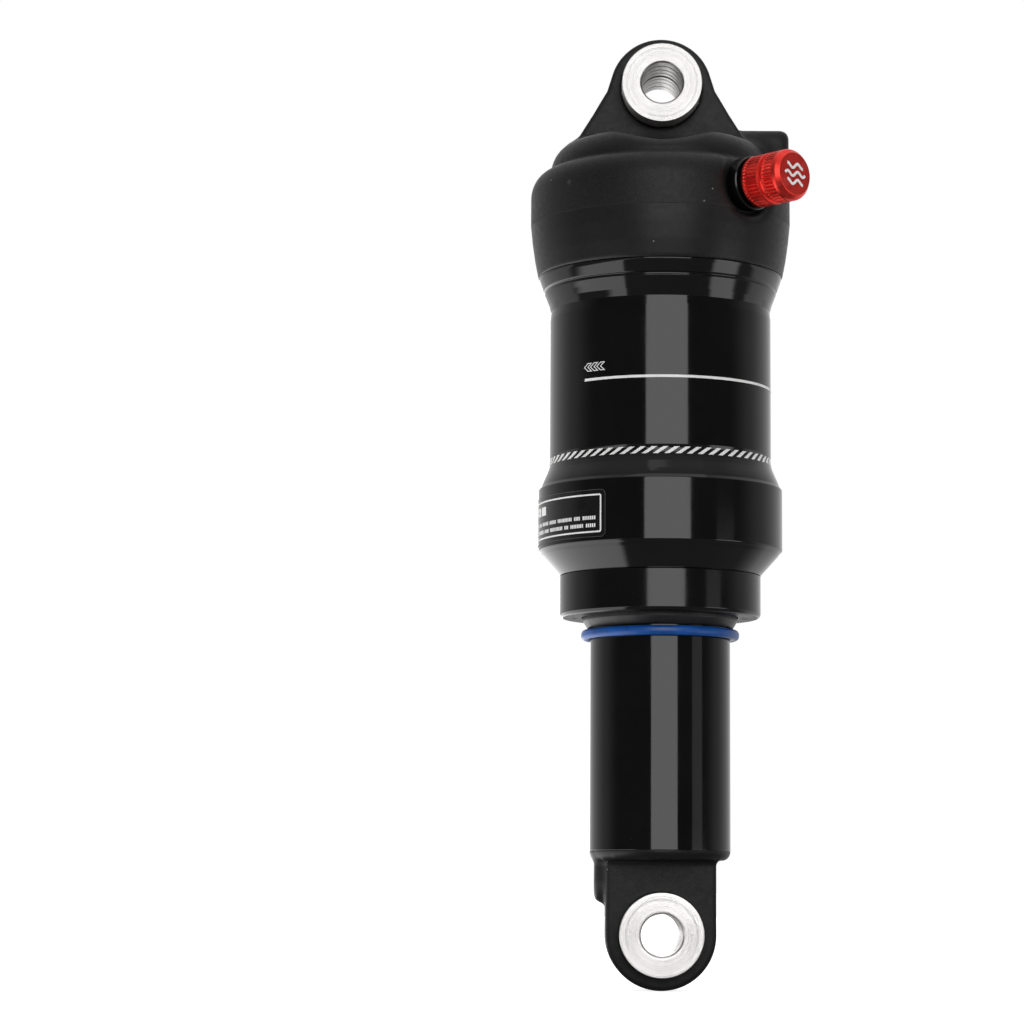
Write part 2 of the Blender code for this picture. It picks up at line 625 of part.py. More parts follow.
def damper_seals():
    bore_gap_r = TUBE_BORE_R - 0.15
    shaft_gap_r = SHAFT_R + RUNNING_GAP
    return [
        finished(turned("bearing_head_o_ring", ring_section(10.5, bore_gap_r, -89.0, -87.6, 6),
                        SMALL), "black_rubber"),
        finished(turned("shaft_bush", box_section(shaft_gap_r, 6.0, -84.9, -74.0), SMALL),
                 "bronze"),
        finished(turned("shaft_seal", ring_section(shaft_gap_r, 7.3, -89.3, -86.7, 6), SMALL),
                 "black_rubber"),
        finished(turned("tube_o_ring", ring_section(10.4, bore_gap_r, -146.6, -145.2, 6),
                        SMALL), "black_rubber"),
    ]


def floating_piston():
    top = FLOATING_PISTON_TOP_Z
    bottom = top - FLOATING_PISTON_HEIGHT
    outer_r = TUBE_BORE_R - GAP
    profile = [(0.0, top), (outer_r, top), (outer_r, top - 1.4), (10.2, top - 1.4),
               (10.2, top - 3.6), (outer_r, top - 3.6), (outer_r, bottom), (8.4, bottom),
               (7.4, top - 1.5), (0.0, top - 1.5)]
    ring = ring_section(10.4, TUBE_BORE_R - 0.15, top - 3.3, top - 1.7, 6)
    finished(turned("floating_piston", profile, SMALL, closed=False), "plain_aluminium")
    finished(turned("floating_piston_o_ring", ring, SMALL), "black_rubber")


def air_piston_rings():
    """The seal and glide ring that run in the can's bore."""
    outer_r = CAN_BORE_R - 0.2
    finished(turned("air_piston_seal", ring_section(17.3, outer_r, -82.6, -80.3, 6), MEDIUM),
             "black_rubber")
    finished(turned("air_piston_glide_ring", box_section(18.3, outer_r, -85.1, -83.8), MEDIUM),
             "white_plastic")


def travel_ring():
    top = WIPER_LIP_Z - GAP
    section = ring_section(TUBE_R + RUNNING_GAP, RING_OUTER_R, top - RING_SECTION_HEIGHT, top, 8)
    return finished(turned("travel_ring", section, LARGE), "blue_rubber")


def build():
    clear_scene()
    collection(PARTS)
    collection(CUTTERS)
    eyelet_head()
    air_can()
    seal_head()
    can_seals()
    eye_bush("upper_eye_bush", 0.0)
    eye_bush("lower_eye_bush", LOWER_EYE_Z)
    eye_hardware("upper", 0.0, UPPER_FLANGE_R)
    eye_hardware("lower", LOWER_EYE_Z, LOWER_FLANGE_R)
    air_valve()
    valve_cap()
    damper_shaft()
    main_piston()
    piston_stack()
    bearing_head()
    damper_tube()
    lower_eyelet()
    fill_port()
    damper_seals()
    floating_piston()
    air_piston_rings()
    travel_ring()


build()
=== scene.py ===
"""The looks of the rear shock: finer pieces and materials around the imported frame.

Lengths are in millimetres until a mesh is made, and in metres for the floor, lamps and camera.
The axis of the shock is Z, with the upper eye at Z = 0, and both eyes run along Y. Azimuths turn
from -Y, the front, towards +X. Outlines are (radius, Z) or (radius, place along an axis).
"""

import itertools
import json
import math

import bmesh
import bpy
import numpy as np
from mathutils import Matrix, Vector


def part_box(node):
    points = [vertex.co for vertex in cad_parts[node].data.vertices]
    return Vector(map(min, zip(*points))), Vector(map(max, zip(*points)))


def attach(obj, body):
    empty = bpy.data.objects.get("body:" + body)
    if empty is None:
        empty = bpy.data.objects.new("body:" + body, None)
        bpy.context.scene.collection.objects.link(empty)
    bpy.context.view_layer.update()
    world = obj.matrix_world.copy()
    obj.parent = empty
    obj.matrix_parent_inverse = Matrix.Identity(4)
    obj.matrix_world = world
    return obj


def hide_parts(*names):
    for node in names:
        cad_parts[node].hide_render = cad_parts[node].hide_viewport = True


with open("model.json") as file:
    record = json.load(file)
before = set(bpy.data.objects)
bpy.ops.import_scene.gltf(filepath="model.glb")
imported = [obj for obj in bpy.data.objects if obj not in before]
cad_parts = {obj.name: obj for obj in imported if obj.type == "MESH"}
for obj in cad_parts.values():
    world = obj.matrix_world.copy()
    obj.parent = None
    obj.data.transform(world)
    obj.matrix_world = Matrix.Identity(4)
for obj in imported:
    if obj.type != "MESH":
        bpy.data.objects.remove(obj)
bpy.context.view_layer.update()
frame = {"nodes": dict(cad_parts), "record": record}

MM = 0.001
ROUND_STEPS = 180
SMOOTH_ANGLE = math.radians(28.0)
LEAST_CORNER = 20.0
CORNER_STEPS = 3


def node_box(name):
    """The lowest and highest corner of a CAD node in millimetres."""
    low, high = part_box(name)
    return np.array(low) / MM, np.array(high) / MM


def turned_size(name):
    """The radius and the lowest and highest Z of a node that is turned about the shock's axis."""
    low, high = node_box(name)
    return high[0], low[2], high[2]


def mount_place(name):
    """A mount's position in millimetres."""
    found = [m for m in frame["record"]["mounts"] if m["name"] == name]
    return np.array(found[0]["pos_m"]) / MM


# Driving sizes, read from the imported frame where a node's box shows them.
LOWER_EYE_Z = mount_place("lower_front_face")[2]
HEAD_R = -node_box("eyelet_head")[0][0]
DOME_TOP_Z = -10.6
DOME_FLAT_R = 17.0
DOME_R = 21.6
STEP_Z = -16.15
SHOULDER_Z = -21.15
HEAD_BOTTOM_Z = -37.0
POCKET_R = 13.3
BLOCK_TOP_Z = -7.0
BLOCK_BOTTOM_Z = -22.0
BLOCK_R = 25.45
BLOCK_LEFT_X = 13.0
BLOCK_Y = 6.0
BLOCK_HALF_Y = 8.0
CAN_BULGE_R, CAN_BOTTOM_Z, _ = turned_size("air_can")
CAN_R = CAN_BULGE_R - 2.15
COLLAR_R, COLLAR_BOTTOM_Z, SEAL_HEAD_TOP_Z = turned_size("seal_head")
WIPER_R, WIPER_LIP_Z, _ = turned_size("dust_wiper")
TUBE_R, TUBE_BOTTOM_Z, TUBE_TOP_Z = turned_size("damper_tube")
TUBE_BORE_R = TUBE_R - 1.8
DISC_TOP_Z = TUBE_BOTTOM_Z - 0.3
DISC_R = TUBE_R - 0.05
DISC_BOTTOM_Z = -150.8
DISC_BOTTOM_R = 12.0
HALF_PLATE = 6.0
EYE_BORE_R = 7.8
UPPER_EYE_R = node_box("eyelet_head")[1][2]
LOWER_EYE_R = LOWER_EYE_Z - node_box("lower_eyelet")[0][2]
PARTING_Z = -27.05
SEAM = 0.05
FILL_Y = 0.8
FILL_Z = -154.2
FILL_BORE_R = 2.1
FILL_BORE_END_X = -6.5
BOSS_R = 4.4
BOSS_X = -9.65
BOSS_HALF_X = 3.05

CAP_LOW, CAP_HIGH = node_box("valve_cap")
CAP_R = (CAP_HIGH[2] - CAP_LOW[2]) / 2.0
VALVE_Z = (CAP_HIGH[2] + CAP_LOW[2]) / 2.0
VALVE_AZIMUTH = math.radians(42.0)
VALVE_DIRECTION = np.array((math.sin(VALVE_AZIMUTH), -math.cos(VALVE_AZIMUTH), 0.0))
VALVE_ORIGIN = np.array((0.0, 0.0, VALVE_Z))
VALVE_RECESS_R = 5.7
VALVE_RECESS_FLOOR = 23.2
VALVE_BORE_R = 2.9
VALVE_BORE_FLOOR = 12.0
CAP_START = 27.0
CAP_END = 36.7


# ---- shapes

def add_object(name, data):
    made = bpy.data.objects.new(name, data)
    bpy.context.scene.collection.objects.link(made)
    return made


def shade_smooth(mesh, sharp=True):
    mesh.polygons.foreach_set("use_smooth", np.ones(len(mesh.polygons), bool))
    if sharp:
        mesh.set_sharp_from_angle(angle=SMOOTH_ANGLE)


def make_piece(name, points, faces, sharp=True):
    """A mesh object from points in millimetres."""
    mesh = bpy.data.meshes.new(name)
    mesh.from_pydata((np.asarray(points, float) * MM).tolist(), [], faces)
    shape = bmesh.new()
    shape.from_mesh(mesh)
    bmesh.ops.recalc_face_normals(shape, faces=shape.faces)
    shape.to_mesh(mesh)
    shape.free()
    shade_smooth(mesh, sharp)
    return add_object(name, mesh)


def arc(centre, radii, start, end, count):
    """Points on an ellipse in the (r, z) plane, from start to end in degrees."""
    angles = np.radians(np.linspace(start, end, count + 1))
    return [(centre[0] + radii[0] * math.cos(a), centre[1] + radii[1] * math.sin(a))
            for a in angles]


def softened(profile, size):
    """The closed profile with each corner sharper than LEAST_CORNER degrees rounded off."""
    made = []
    points = [np.array(p, float) for p in profile]
    for i, corner in enumerate(points):
        before = points[i - 1] - corner
        after = points[(i + 1) % len(points)] - corner
        lengths = np.linalg.norm(before), np.linalg.norm(after)
        cosine = -before.dot(after) / (lengths[0] * lengths[1])
        if math.degrees(math.acos(max(-1.0, min(1.0, cosine)))) < LEAST_CORNER:
            made.append(tuple(corner))
            continue
        cut = min(size, 0.45 * lengths[0], 0.45 * lengths[1])
        first = corner + before / lengths[0] * cut
        last = corner + after / lengths[1] * cut
        for t in np.linspace(0.0, 1.0, CORNER_STEPS + 1):
            point = (1 - t) ** 2 * first + 2 * t * (1 - t) * corner + t * t * last
            made.append(tuple(point))
    return made


def axis_frame(origin, direction):
    """Origin and three unit vectors, the last along direction."""
    along = np.array(direction, float)
    along = along / np.linalg.norm(along)
    side = np.cross((0.0, 0.0, 1.0), along)
    if np.linalg.norm(side) < 1e-6:
        side = np.array((1.0, 0.0, 0.0))
    side = side / np.linalg.norm(side)
    return np.array(origin, float), side, np.cross(along, side), along


MAIN_AXIS = axis_frame((0.0, 0.0, 0.0), (0.0, 0.0, 1.0))
VALVE_AXIS = axis_frame(VALVE_ORIGIN, VALVE_DIRECTION)


def supported(profile, closed):
    """The profile with points near both ends of its long runs, so that they shade straight."""
    near, long = 0.05, 0.6
    made = []
    points = [np.array(p, float) for p in profile]
    for i, start in enumerate(points):
        made.append(tuple(start))
        if not closed and i == len(points) - 1:
            break
        run = points[(i + 1) % len(points)] - start
        length = np.linalg.norm(run)
        if length > long:
            made += [tuple(start + run * share) for share in (near / length, 1.0 - near / length)]
    return made


def lathe(name, profile, axis=MAIN_AXIS, steps=ROUND_STEPS, closed=True, ripple=None):
    """A turned piece from (radius, place along the axis). Ripple changes a ring's radius.

    On the axis a ring is one point, so the faces beside it have three corners.
    """
    origin, side, other, along = axis
    angles = np.linspace(0.0, 2.0 * math.pi, steps, endpoint=False)
    points = []
    rings = []
    for radius, place in supported(profile, closed):
        if radius < 1e-6:
            rings.append([len(points)] * steps)
            points.append(origin + along * place)
            continue
        radii = np.full(steps, radius) if ripple is None else ripple(radius, place, angles)
        rings.append(range(len(points), len(points) + steps))
        ring = (origin + along * place + np.outer(radii * np.cos(angles), side)
                + np.outer(radii * np.sin(angles), other))
        points.extend(ring)
    faces = []
    pairs = list(zip(rings, rings[1:]))
    if closed:
        pairs.append((rings[-1], rings[0]))
    for low, high in pairs:
        for i in range(steps):
            j = (i + 1) % steps
            face = dict.fromkeys((low[i], low[j], high[j], high[i]))
            if len(face) > 2:
                faces.append(tuple(face))
    return make_piece(name, points, faces)


def section_ring(inner, outer, low, high, count, power):
    """A closed oval section between two radii and two heights, squarer with a lower power."""
    made = []
    for a in np.linspace(0.0, 2.0 * math.pi, count, endpoint=False):
        c, s = math.cos(a), math.sin(a)
        made.append(((inner + outer) / 2 + (outer - inner) / 2 * math.copysign(abs(c) ** power, c),
                     (low + high) / 2 + (high - low) / 2 * math.copysign(abs(s) ** power, s)))
    return made


def carve(piece, *cutters):
    """Cuts closed meshes out of a piece."""
    for cutter in cutters:
        modifier = piece.modifiers.new("cut", "BOOLEAN")
        modifier.object = cutter
        modifier.solver = "EXACT"
    graph = bpy.context.evaluated_depsgraph_get()
    mesh = bpy.data.meshes.new_from_object(piece.evaluated_get(graph))
    piece.modifiers.clear()
    piece.data = mesh
    shade_smooth(mesh)
    for cutter in cutters:
        bpy.data.objects.remove(cutter)
    return piece


# ---- blended castings

def polygon_distance(outline, x, z):
    """Signed distance in the plane to a closed outline, negative inside."""
    nearest = np.full(x.shape, 1e9)
    inside = np.zeros(x.shape, bool)
    for (ax, az), (bx, bz) in zip(outline, outline[1:] + outline[:1]):
        dx, dz = bx - ax, bz - az
        length = dx * dx + dz * dz
        if length < 1e-12:
            continue
        t = np.clip(((x - ax) * dx + (z - az) * dz) / length, 0.0, 1.0)
        nearest = np.minimum(nearest, (x - ax - t * dx) ** 2 + (z - az - t * dz) ** 2)
        if az != bz:
            crosses = ((az > z) != (bz > z)) & (x < dx * (z - az) / dz + ax)
            inside ^= crosses
    return np.where(inside, -1.0, 1.0) * np.sqrt(nearest)


def tabulated(distance, low, high):
    """A function of two plane coordinates made from a table of another one."""
    step = 0.1
    across = np.arange(low[0], high[0] + step, step)
    up = np.arange(low[1], high[1] + step, step)
    table = distance(*np.meshgrid(across, up, indexing="ij"))

    def look_up(x, z):
        u = np.clip((x - low[0]) / step, 0.0, len(across) - 1.001)
        v = np.clip((z - low[1]) / step, 0.0, len(up) - 1.001)
        i, j = u.astype(int), v.astype(int)
        u, v = u - i, v - j
        return ((1 - u) * (1 - v) * table[i, j] + u * (1 - v) * table[i + 1, j]
                + (1 - u) * v * table[i, j + 1] + u * v * table[i + 1, j + 1])
    return look_up


def blend_min(a, b, width):
    """Union of two distances with a fillet about as wide as width."""
    share = np.maximum(width - np.abs(a - b), 0.0) / width
    return np.minimum(a, b) - share * share * width / 4.0


def blend_max(a, b, width):
    """Intersection of two distances, with its edge rounded about as wide as width."""
    return -blend_min(-a, -b, width)


def surface_mesh(name, field, low, high, cell):
    """The zero surface of a distance field as a closed mesh.

    Surface nets put one point in each cell that the surface crosses. The points are then evened
    out and moved onto the surface.
    """
    low = np.array(low, float)
    counts = [int(math.ceil((h - l) / cell)) + 1 for l, h in zip(low, high)]
    axes = [l + cell * np.arange(n) for l, n in zip(low, counts)]
    grid = np.stack(np.meshgrid(*axes, indexing="ij"), axis=-1)
    values = field(grid.reshape(-1, 3)).reshape(counts)
    inside = values < 0.0
    corners = list(itertools.product((0, 1), repeat=3))
    full = np.zeros([n - 1 for n in counts], np.int8)
    for dx, dy, dz in corners:
        full += inside[dx:counts[0] - 1 + dx, dy:counts[1] - 1 + dy, dz:counts[2] - 1 + dz]
    active = (full > 0) & (full < 8)
    index = np.full(active.shape, -1)
    index[active] = np.arange(active.sum())
    cells = np.argwhere(active)
    total = np.zeros((len(cells), 3))
    crossings = np.zeros(len(cells))
    for start in corners:
        for axis in range(3):
            if start[axis]:
                continue
            end = list(start)
            end[axis] = 1
            first = values[tuple((cells + start).T)]
            second = values[tuple((cells + end).T)]
            crossing = (first < 0.0) != (second < 0.0)
            share = first[crossing] / (first[crossing] - second[crossing])
            total[crossing] += np.array(start) + share[:, None] * (np.array(end) - start)
            crossings += crossing
    points = (cells + total / crossings[:, None]) * cell + low
    faces = []
    for axis in range(3):
        second, third = (axis + 1) % 3, (axis + 2) % 3
        here = [slice(None)] * 3
        there = [slice(None)] * 3
        here[axis], there[axis] = slice(0, -1), slice(1, None)
        before = inside[tuple(here)]
        changes = before != inside[tuple(there)]
        edges = np.argwhere(changes)
        rising = before[changes]
        around = []
        for du, dv in ((-1, -1), (0, -1), (0, 0), (-1, 0)):
            place = edges.copy()
            place[:, second] += du
            place[:, third] += dv
            around.append(index[tuple(place.T)])
        quads = np.stack(around, axis=1)
        quads[~rising] = quads[~rising][:, ::-1]
        faces.append(quads)
    faces = np.concatenate(faces)
    ends = np.concatenate([faces[:, [i, (i + 1) % 4]] for i in range(4)])
    probe = 0.05
    for evened in (True, True, False):
        if evened:
            average = np.zeros_like(points)
            count = np.zeros(len(points))
            for a, b in ((0, 1), (1, 0)):
                np.add.at(average, ends[:, a], points[ends[:, b]])
                np.add.at(count, ends[:, a], 1.0)
            points = 0.5 * points + 0.5 * average / count[:, None]
        for _ in range(2):
            value = field(points)
            slope = np.stack([(field(points + d) - field(points - d)) / (2 * probe)
                              for d in probe * np.eye(3)], axis=1)
            move = -(value / np.maximum((slope ** 2).sum(1), 0.1))[:, None] * slope
            length = np.linalg.norm(move, axis=1)
            move *= np.minimum(1.0, 0.5 * cell / np.maximum(length, 1e-9))[:, None]
            points = points + move
    return make_piece(name, points, faces.tolist(), sharp=False)


INSIDE = -6.0


def head_casting():
    """The upper eyelet, dome, shoulder, raised corner and spigot as one blended casting.

    Outlines start at INSIDE, past the axis, so that no surface forms along it.
    """
    rise = (DOME_R - DOME_FLAT_R, DOME_TOP_Z - STEP_Z)
    dome = ([(INSIDE, DOME_TOP_Z), (DOME_FLAT_R, DOME_TOP_Z)]
            + arc((DOME_FLAT_R, STEP_Z), rise, 90.0, 0.0, 24)
            + [(DOME_R, -21.0), (INSIDE, -21.0)])
    fall = (HEAD_R - DOME_R, STEP_Z - SHOULDER_Z)
    body = ([(INSIDE, STEP_Z), (DOME_R, STEP_Z)] + arc((DOME_R, SHOULDER_Z), fall, 90.0, 0.0, 16)
            + [(HEAD_R, -26.5), (25.15, -30.0), (24.65, -33.5), (24.0, -36.8),
               (23.8, HEAD_BOTTOM_Z), (20.6, HEAD_BOTTOM_Z), (20.6, -40.2), (19.3, -40.2),
               (19.3, -40.8), (17.9, -40.8), (17.9, -42.9), (19.3, -42.9), (19.3, -43.6),
               (INSIDE, -43.6)])
    hollow = [(16.5, -50.0), (16.5, -18.5), (15.0, -17.0), (8.0, -17.0), (8.0, -30.7),
              (4.5, -30.7), (4.5, -20.0), (INSIDE, -20.0), (INSIDE, -50.0)]

    def turned_part(r, z):
        solid = blend_min(polygon_distance(dome, r, z), polygon_distance(body, r, z), 0.4)
        return np.maximum(solid, -polygon_distance(hollow, r, z))

    flank = [(10.6, -0.4), (11.9, -2.6), (13.4, -5.2), (15.15, -8.0), (16.6, -10.4), (17.5, -12.0)]
    top = arc((0.0, 0.0), (UPPER_EYE_R, UPPER_EYE_R), 15.0, 165.0, 40)
    outline = top + [(-x, z) for x, z in flank] + [(x, z) for x, z in reversed(flank)]
    turned_table = tabulated(turned_part, (-1.0, -46.0), (28.0, 12.0))
    plate_table = tabulated(lambda x, z: polygon_distance(outline, x, z),
                            (-30.0, -46.0), (30.0, 13.0))

    def field(p):
        x, y, z = p[:, 0], p[:, 1], p[:, 2]
        r = np.hypot(x, y)
        shell = turned_table(r, z)
        plate = blend_max(np.abs(y) - HALF_PLATE, plate_table(x, z), 0.8)
        corner = blend_max(r - BLOCK_R, z - BLOCK_TOP_Z, 2.0)
        corner = blend_max(corner, BLOCK_BOTTOM_Z - z, 1.0)
        corner = blend_max(corner, BLOCK_LEFT_X - x, 2.5)
        corner = blend_max(corner, np.abs(y - BLOCK_Y) - BLOCK_HALF_Y, 2.5)
        # The corner's wide fillet fades out towards the shoulder.
        solid = blend_min(shell, corner, np.interp(z, (-20.0, -14.0), (0.3, 4.0)))
        pocket = blend_max(np.hypot(x, z) - POCKET_R, HALF_PLATE - np.abs(y), 0.6)
        solid = blend_max(solid, -pocket, 1.9)
        solid = blend_min(solid, plate, 1.6)
        solid = blend_max(solid, EYE_BORE_R - np.hypot(x, z), 0.5)
        local = p - VALVE_ORIGIN
        along = local @ VALVE_DIRECTION
        across = np.linalg.norm(local - along[:, None] * VALVE_DIRECTION, axis=1)
        recess = np.maximum(across - VALVE_RECESS_R, VALVE_RECESS_FLOOR - along)
        bore = np.maximum(across - VALVE_BORE_R, VALVE_BORE_FLOOR - along)
        solid = blend_max(solid, -recess, 2.4)
        return np.maximum(solid, -bore)

    return surface_mesh("head_casting", field, (-26.6, -26.6, -44.8), (27.0, 26.6, 10.9), 0.4)


def lower_casting():
    """The disc, plate, fill boss and spigot below the tube as one blended casting."""
    disc = ([(INSIDE, -144.2), (11.5, -144.2), (11.5, -144.9), (10.2, -144.9), (10.2, -146.9),
             (11.5, -146.9), (11.5, DISC_TOP_Z), (DISC_R, DISC_TOP_Z)]
            + arc((DISC_BOTTOM_R, DISC_TOP_Z - 0.3), (DISC_R - DISC_BOTTOM_R,
                  DISC_TOP_Z - 0.3 - DISC_BOTTOM_Z), 0.0, -90.0, 10) + [(INSIDE, DISC_BOTTOM_Z)])
    disc_table = tabulated(lambda r, z: polygon_distance(disc, r, z),
                           (-1.0, -180.0), (16.0, -142.0))

    def field(p):
        x, y, z = p[:, 0], p[:, 1], p[:, 2]
        shell = disc_table(np.hypot(x, y), z)
        profile = np.hypot(x, np.minimum(z - LOWER_EYE_Z, 0.0)) - LOWER_EYE_R
        plate = blend_max(np.abs(y) - HALF_PLATE, profile, 0.9)
        plate = np.maximum(plate, z - DISC_BOTTOM_Z - 1.1)
        boss = np.hypot(y - FILL_Y, np.minimum(z - FILL_Z + 0.3, 0.0)) - BOSS_R
        boss = blend_max(boss, np.abs(x - BOSS_X) - BOSS_HALF_X, 1.8)
        boss = np.maximum(boss, z - DISC_BOTTOM_Z - 0.9)
        solid = blend_min(plate, boss, 1.4)
        solid = blend_min(solid, shell, 1.2)
        solid = blend_max(solid, EYE_BORE_R - np.hypot(x, z - LOWER_EYE_Z), 0.5)
        port = np.maximum(np.hypot(y - FILL_Y, z - FILL_Z) - FILL_BORE_R, x - FILL_BORE_END_X)
        return blend_max(solid, -port, 0.4)

    return surface_mesh("lower_casting", field, (-13.6, -14.2, -176.6), (14.2, 14.2, -143.6),
                        0.3)


# ---- turned pieces

def can_outside():
    """The can's outer profile from top to bottom."""
    taper = [(23.8, HEAD_BOTTOM_Z - SEAM), (23.6, -37.8), (22.95, -39.6), (22.6, -39.75),
             (22.6, -40.1), (22.75, -40.25), (22.3, -41.4), (21.85, -42.6), (21.5, -44.0)]
    flare = [(CAN_R, -72.6), (21.42, -73.3), (21.6, -74.1), (21.85, -74.9), (22.15, -75.7),
             (22.5, -76.5), (22.83, -77.25), (23.1, -77.9), (23.32, -78.5)]
    return (taper + [(CAN_R, -45.6)] + flare
            + [(CAN_BULGE_R, -79.1), (CAN_BULGE_R, -90.95), (23.3, -91.4), (22.9, -91.95),
               (19.5, -95.75), (CAN_R - 2.0, CAN_BOTTOM_Z - 0.25)])


def can_shell():
    inside = [(18.5, CAN_BOTTOM_Z - 0.25), (18.5, -89.2), (21.3, -89.0), (21.3, -86.9),
              (19.6, -86.3), (19.6, -40.9), (20.9, -40.5), (20.9, HEAD_BOTTOM_Z - SEAM)]
    return lathe("can_shell", softened(can_outside() + inside, 0.18))


def collar():
    """The seal head's visible end, with two spanner holes in its underside."""
    land = TUBE_R + 0.45
    hole_place = 16.5
    profile = [(18.2, SEAL_HEAD_TOP_Z), (18.2, -91.0), (16.9, -91.0), (16.9, -93.4),
               (18.2, -93.4), (18.2, -95.9), (19.45, -95.9), (COLLAR_R, -96.0),
               (COLLAR_R, COLLAR_BOTTOM_Z + 0.7), (19.35, COLLAR_BOTTOM_Z + 0.25),
               (18.95, COLLAR_BOTTOM_Z),
               (15.3, COLLAR_BOTTOM_Z), (15.3, -101.4), (land, -101.4), (land, -100.6),
               (16.6, -100.6), (16.6, -97.0), (land, -97.0), (land, -96.0), (15.3, -96.0),
               (15.3, -90.4), (land, -90.4), (land, SEAL_HEAD_TOP_Z)]
    piece = lathe("collar", softened(profile, 0.1))
    holes = []
    for side in (-1.0, 1.0):
        hole_axis = axis_frame((side * hole_place, 0.0, 0.0), (0.0, 0.0, 1.0))
        holes.append(lathe("hole", [(0.0, -105.0), (0.62, -105.0), (0.62, COLLAR_BOTTOM_Z + 0.05),
                                    (0.5, COLLAR_BOTTOM_Z + 0.2), (0.5, -101.7), (0.0, -101.5)],
                           hole_axis, 32, closed=False))
    return carve(piece, *holes)


def wiper_lip():
    gap_r = TUBE_R + 0.25
    profile = [(WIPER_R, -101.7), (WIPER_R, -104.6), (14.1, WIPER_LIP_Z), (gap_r, WIPER_LIP_Z),
               (gap_r, -101.7)]
    return lathe("wiper_lip", softened(profile, 0.16))


def tube_shell():
    low = DISC_TOP_Z - 0.2  # a little inside the disc, so that no gap shows between them
    profile = [(TUBE_R, TUBE_TOP_Z), (TUBE_R, low), (TUBE_BORE_R, low), (TUBE_BORE_R, TUBE_TOP_Z)]
    return lathe("tube_shell", softened(profile, 0.12))


def travel_band():
    outer, low, high = turned_size("travel_ring")
    return lathe("travel_band", section_ring(TUBE_R + 0.25, outer, low, high, 32, 0.85))


BORE_R = 4.0


def spacer(name, eye_z, side, flange_r):
    """One flanged reducer of an eye, with shallow turned grooves in its bore."""
    profile = [(6.05, 0.15), (6.05, 6.3), (flange_r, 6.3), (flange_r, 11.1),
               (BORE_R + 0.3, 11.1), (BORE_R, 10.8)]
    groove_r = BORE_R + 0.08
    for outer, inner in ((8.2, 7.7), (5.2, 4.8), (2.6, 2.2)):
        profile += [(BORE_R, outer), (groove_r, outer - 0.1), (groove_r, inner + 0.1),
                    (BORE_R, inner)]
    profile += [(BORE_R, 0.6), (BORE_R + 0.35, 0.15)]
    axis = axis_frame((0.0, 0.0, eye_z), (0.0, side, 0.0))
    return lathe(name, softened(profile, 0.16), axis, 120)


def valve_cap():
    """The knurled cap: two bands of straight flutes with a groove between and a bevelled end."""
    bands = ((CAP_START + 0.9, CAP_START + 3.95), (CAP_START + 5.8, CAP_START + 7.95))
    flutes = 44
    flute_depth = 0.28
    inner_r = 4.15

    def ripple(radius, place, angles):
        deep = any(low <= place <= high for low, high in bands) and radius > inner_r
        wave = (0.5 + 0.5 * np.cos(flutes * angles)) ** 1.6
        return radius - flute_depth * wave if deep else np.full(len(angles), radius)

    outside = [(CAP_R - 0.3, CAP_START), (CAP_R - 0.08, CAP_START + 0.12),
               (CAP_R, CAP_START + 0.3), (CAP_R, CAP_START + 0.7)]
    groove = ((0.0, 0.2), (0.1, 0.37), (0.52, 0.55), (0.57, 0.75), (0.57, 1.15), (0.52, 1.3),
              (0.1, 1.47), (0.0, 1.65))
    for low, high in bands:
        places = (low, low + 0.25, (low + high) / 2, high - 0.25, high)
        outside += [(CAP_R, place) for place in places]
        if low == bands[0][0]:
            outside += [(CAP_R - inward, high + place) for inward, place in groove]
    bevel = ((0.0, 1.55), (0.0, 1.3), (0.06, 1.05), (0.2, 0.75), (0.85, 0.06), (1.05, 0.0))
    outside += [(CAP_R - inward, CAP_END - back) for inward, back in bevel]
    floor = CAP_END - 1.2
    inside = [(0.0, CAP_END), (0.0, floor), (inner_r, floor), (inner_r, CAP_START)]
    return lathe("valve_cap_knurled", outside + inside, VALVE_AXIS, flutes * 8, True, ripple)


def valve_body():
    """The valve's foot and its threaded stem."""
    crest, root, pitch = 3.85, 3.62, 0.79
    profile = [(2.75, 12.3), (2.75, 23.5), (5.0, 23.5), (5.2, 23.7), (5.2, 25.9), (5.0, 26.1),
               (crest, 26.1), (crest, 27.2)]
    place = 27.4
    while place < 33.4:
        profile += [(crest, place), (root, place + 0.25), (root, place + 0.4),
                    (crest, place + 0.65)]
        place += pitch
    profile += [(crest, 33.9), (3.6, 34.2), (2.3, 34.2), (2.3, 22.0), (1.2, 22.0), (1.2, 12.3)]
    return lathe("valve_foot", profile, VALVE_AXIS, 96)


def fill_screw():
    """The screw in the fill port, with a hexagon socket."""
    axis = axis_frame((0.0, FILL_Y, FILL_Z), (-1.0, 0.0, 0.0))
    screw_line = [(0.0, 12.2), (1.45, 12.2), (1.8, 11.85), (1.8, 8.3), (0.0, 8.3)]
    socket_line = [(0.0, 13.0), (0.9, 13.0), (0.9, 10.8), (0.0, 10.4)]
    screw = lathe("fill_screw", screw_line, axis, 48, closed=False)
    return carve(screw, lathe("socket", socket_line, axis, 6, closed=False))


# ---- printed trim

INK_BASE = -0.02
INK_TOP = 0.045
LINE_Z = -59.6
LINE_HALF = 0.25
TRIM_START = -43.8
CHEVRON_Z = -57.95
HATCH_TOP_Z = -73.05
HATCH_BOTTOM_Z = -74.4
LABEL_RIGHT = -29.6
LABEL_LENGTH = 38.0
LABEL_LOW_Z = -89.4
LABEL_HEIGHT = 7.45
FILM_MARGIN = 0.75
CAN_LINE = np.array(can_outside())


def can_radius(z):
    """The can's outer radius at a height."""
    return np.interp(-np.asarray(z, float), -CAN_LINE[:, 1], CAN_LINE[:, 0])


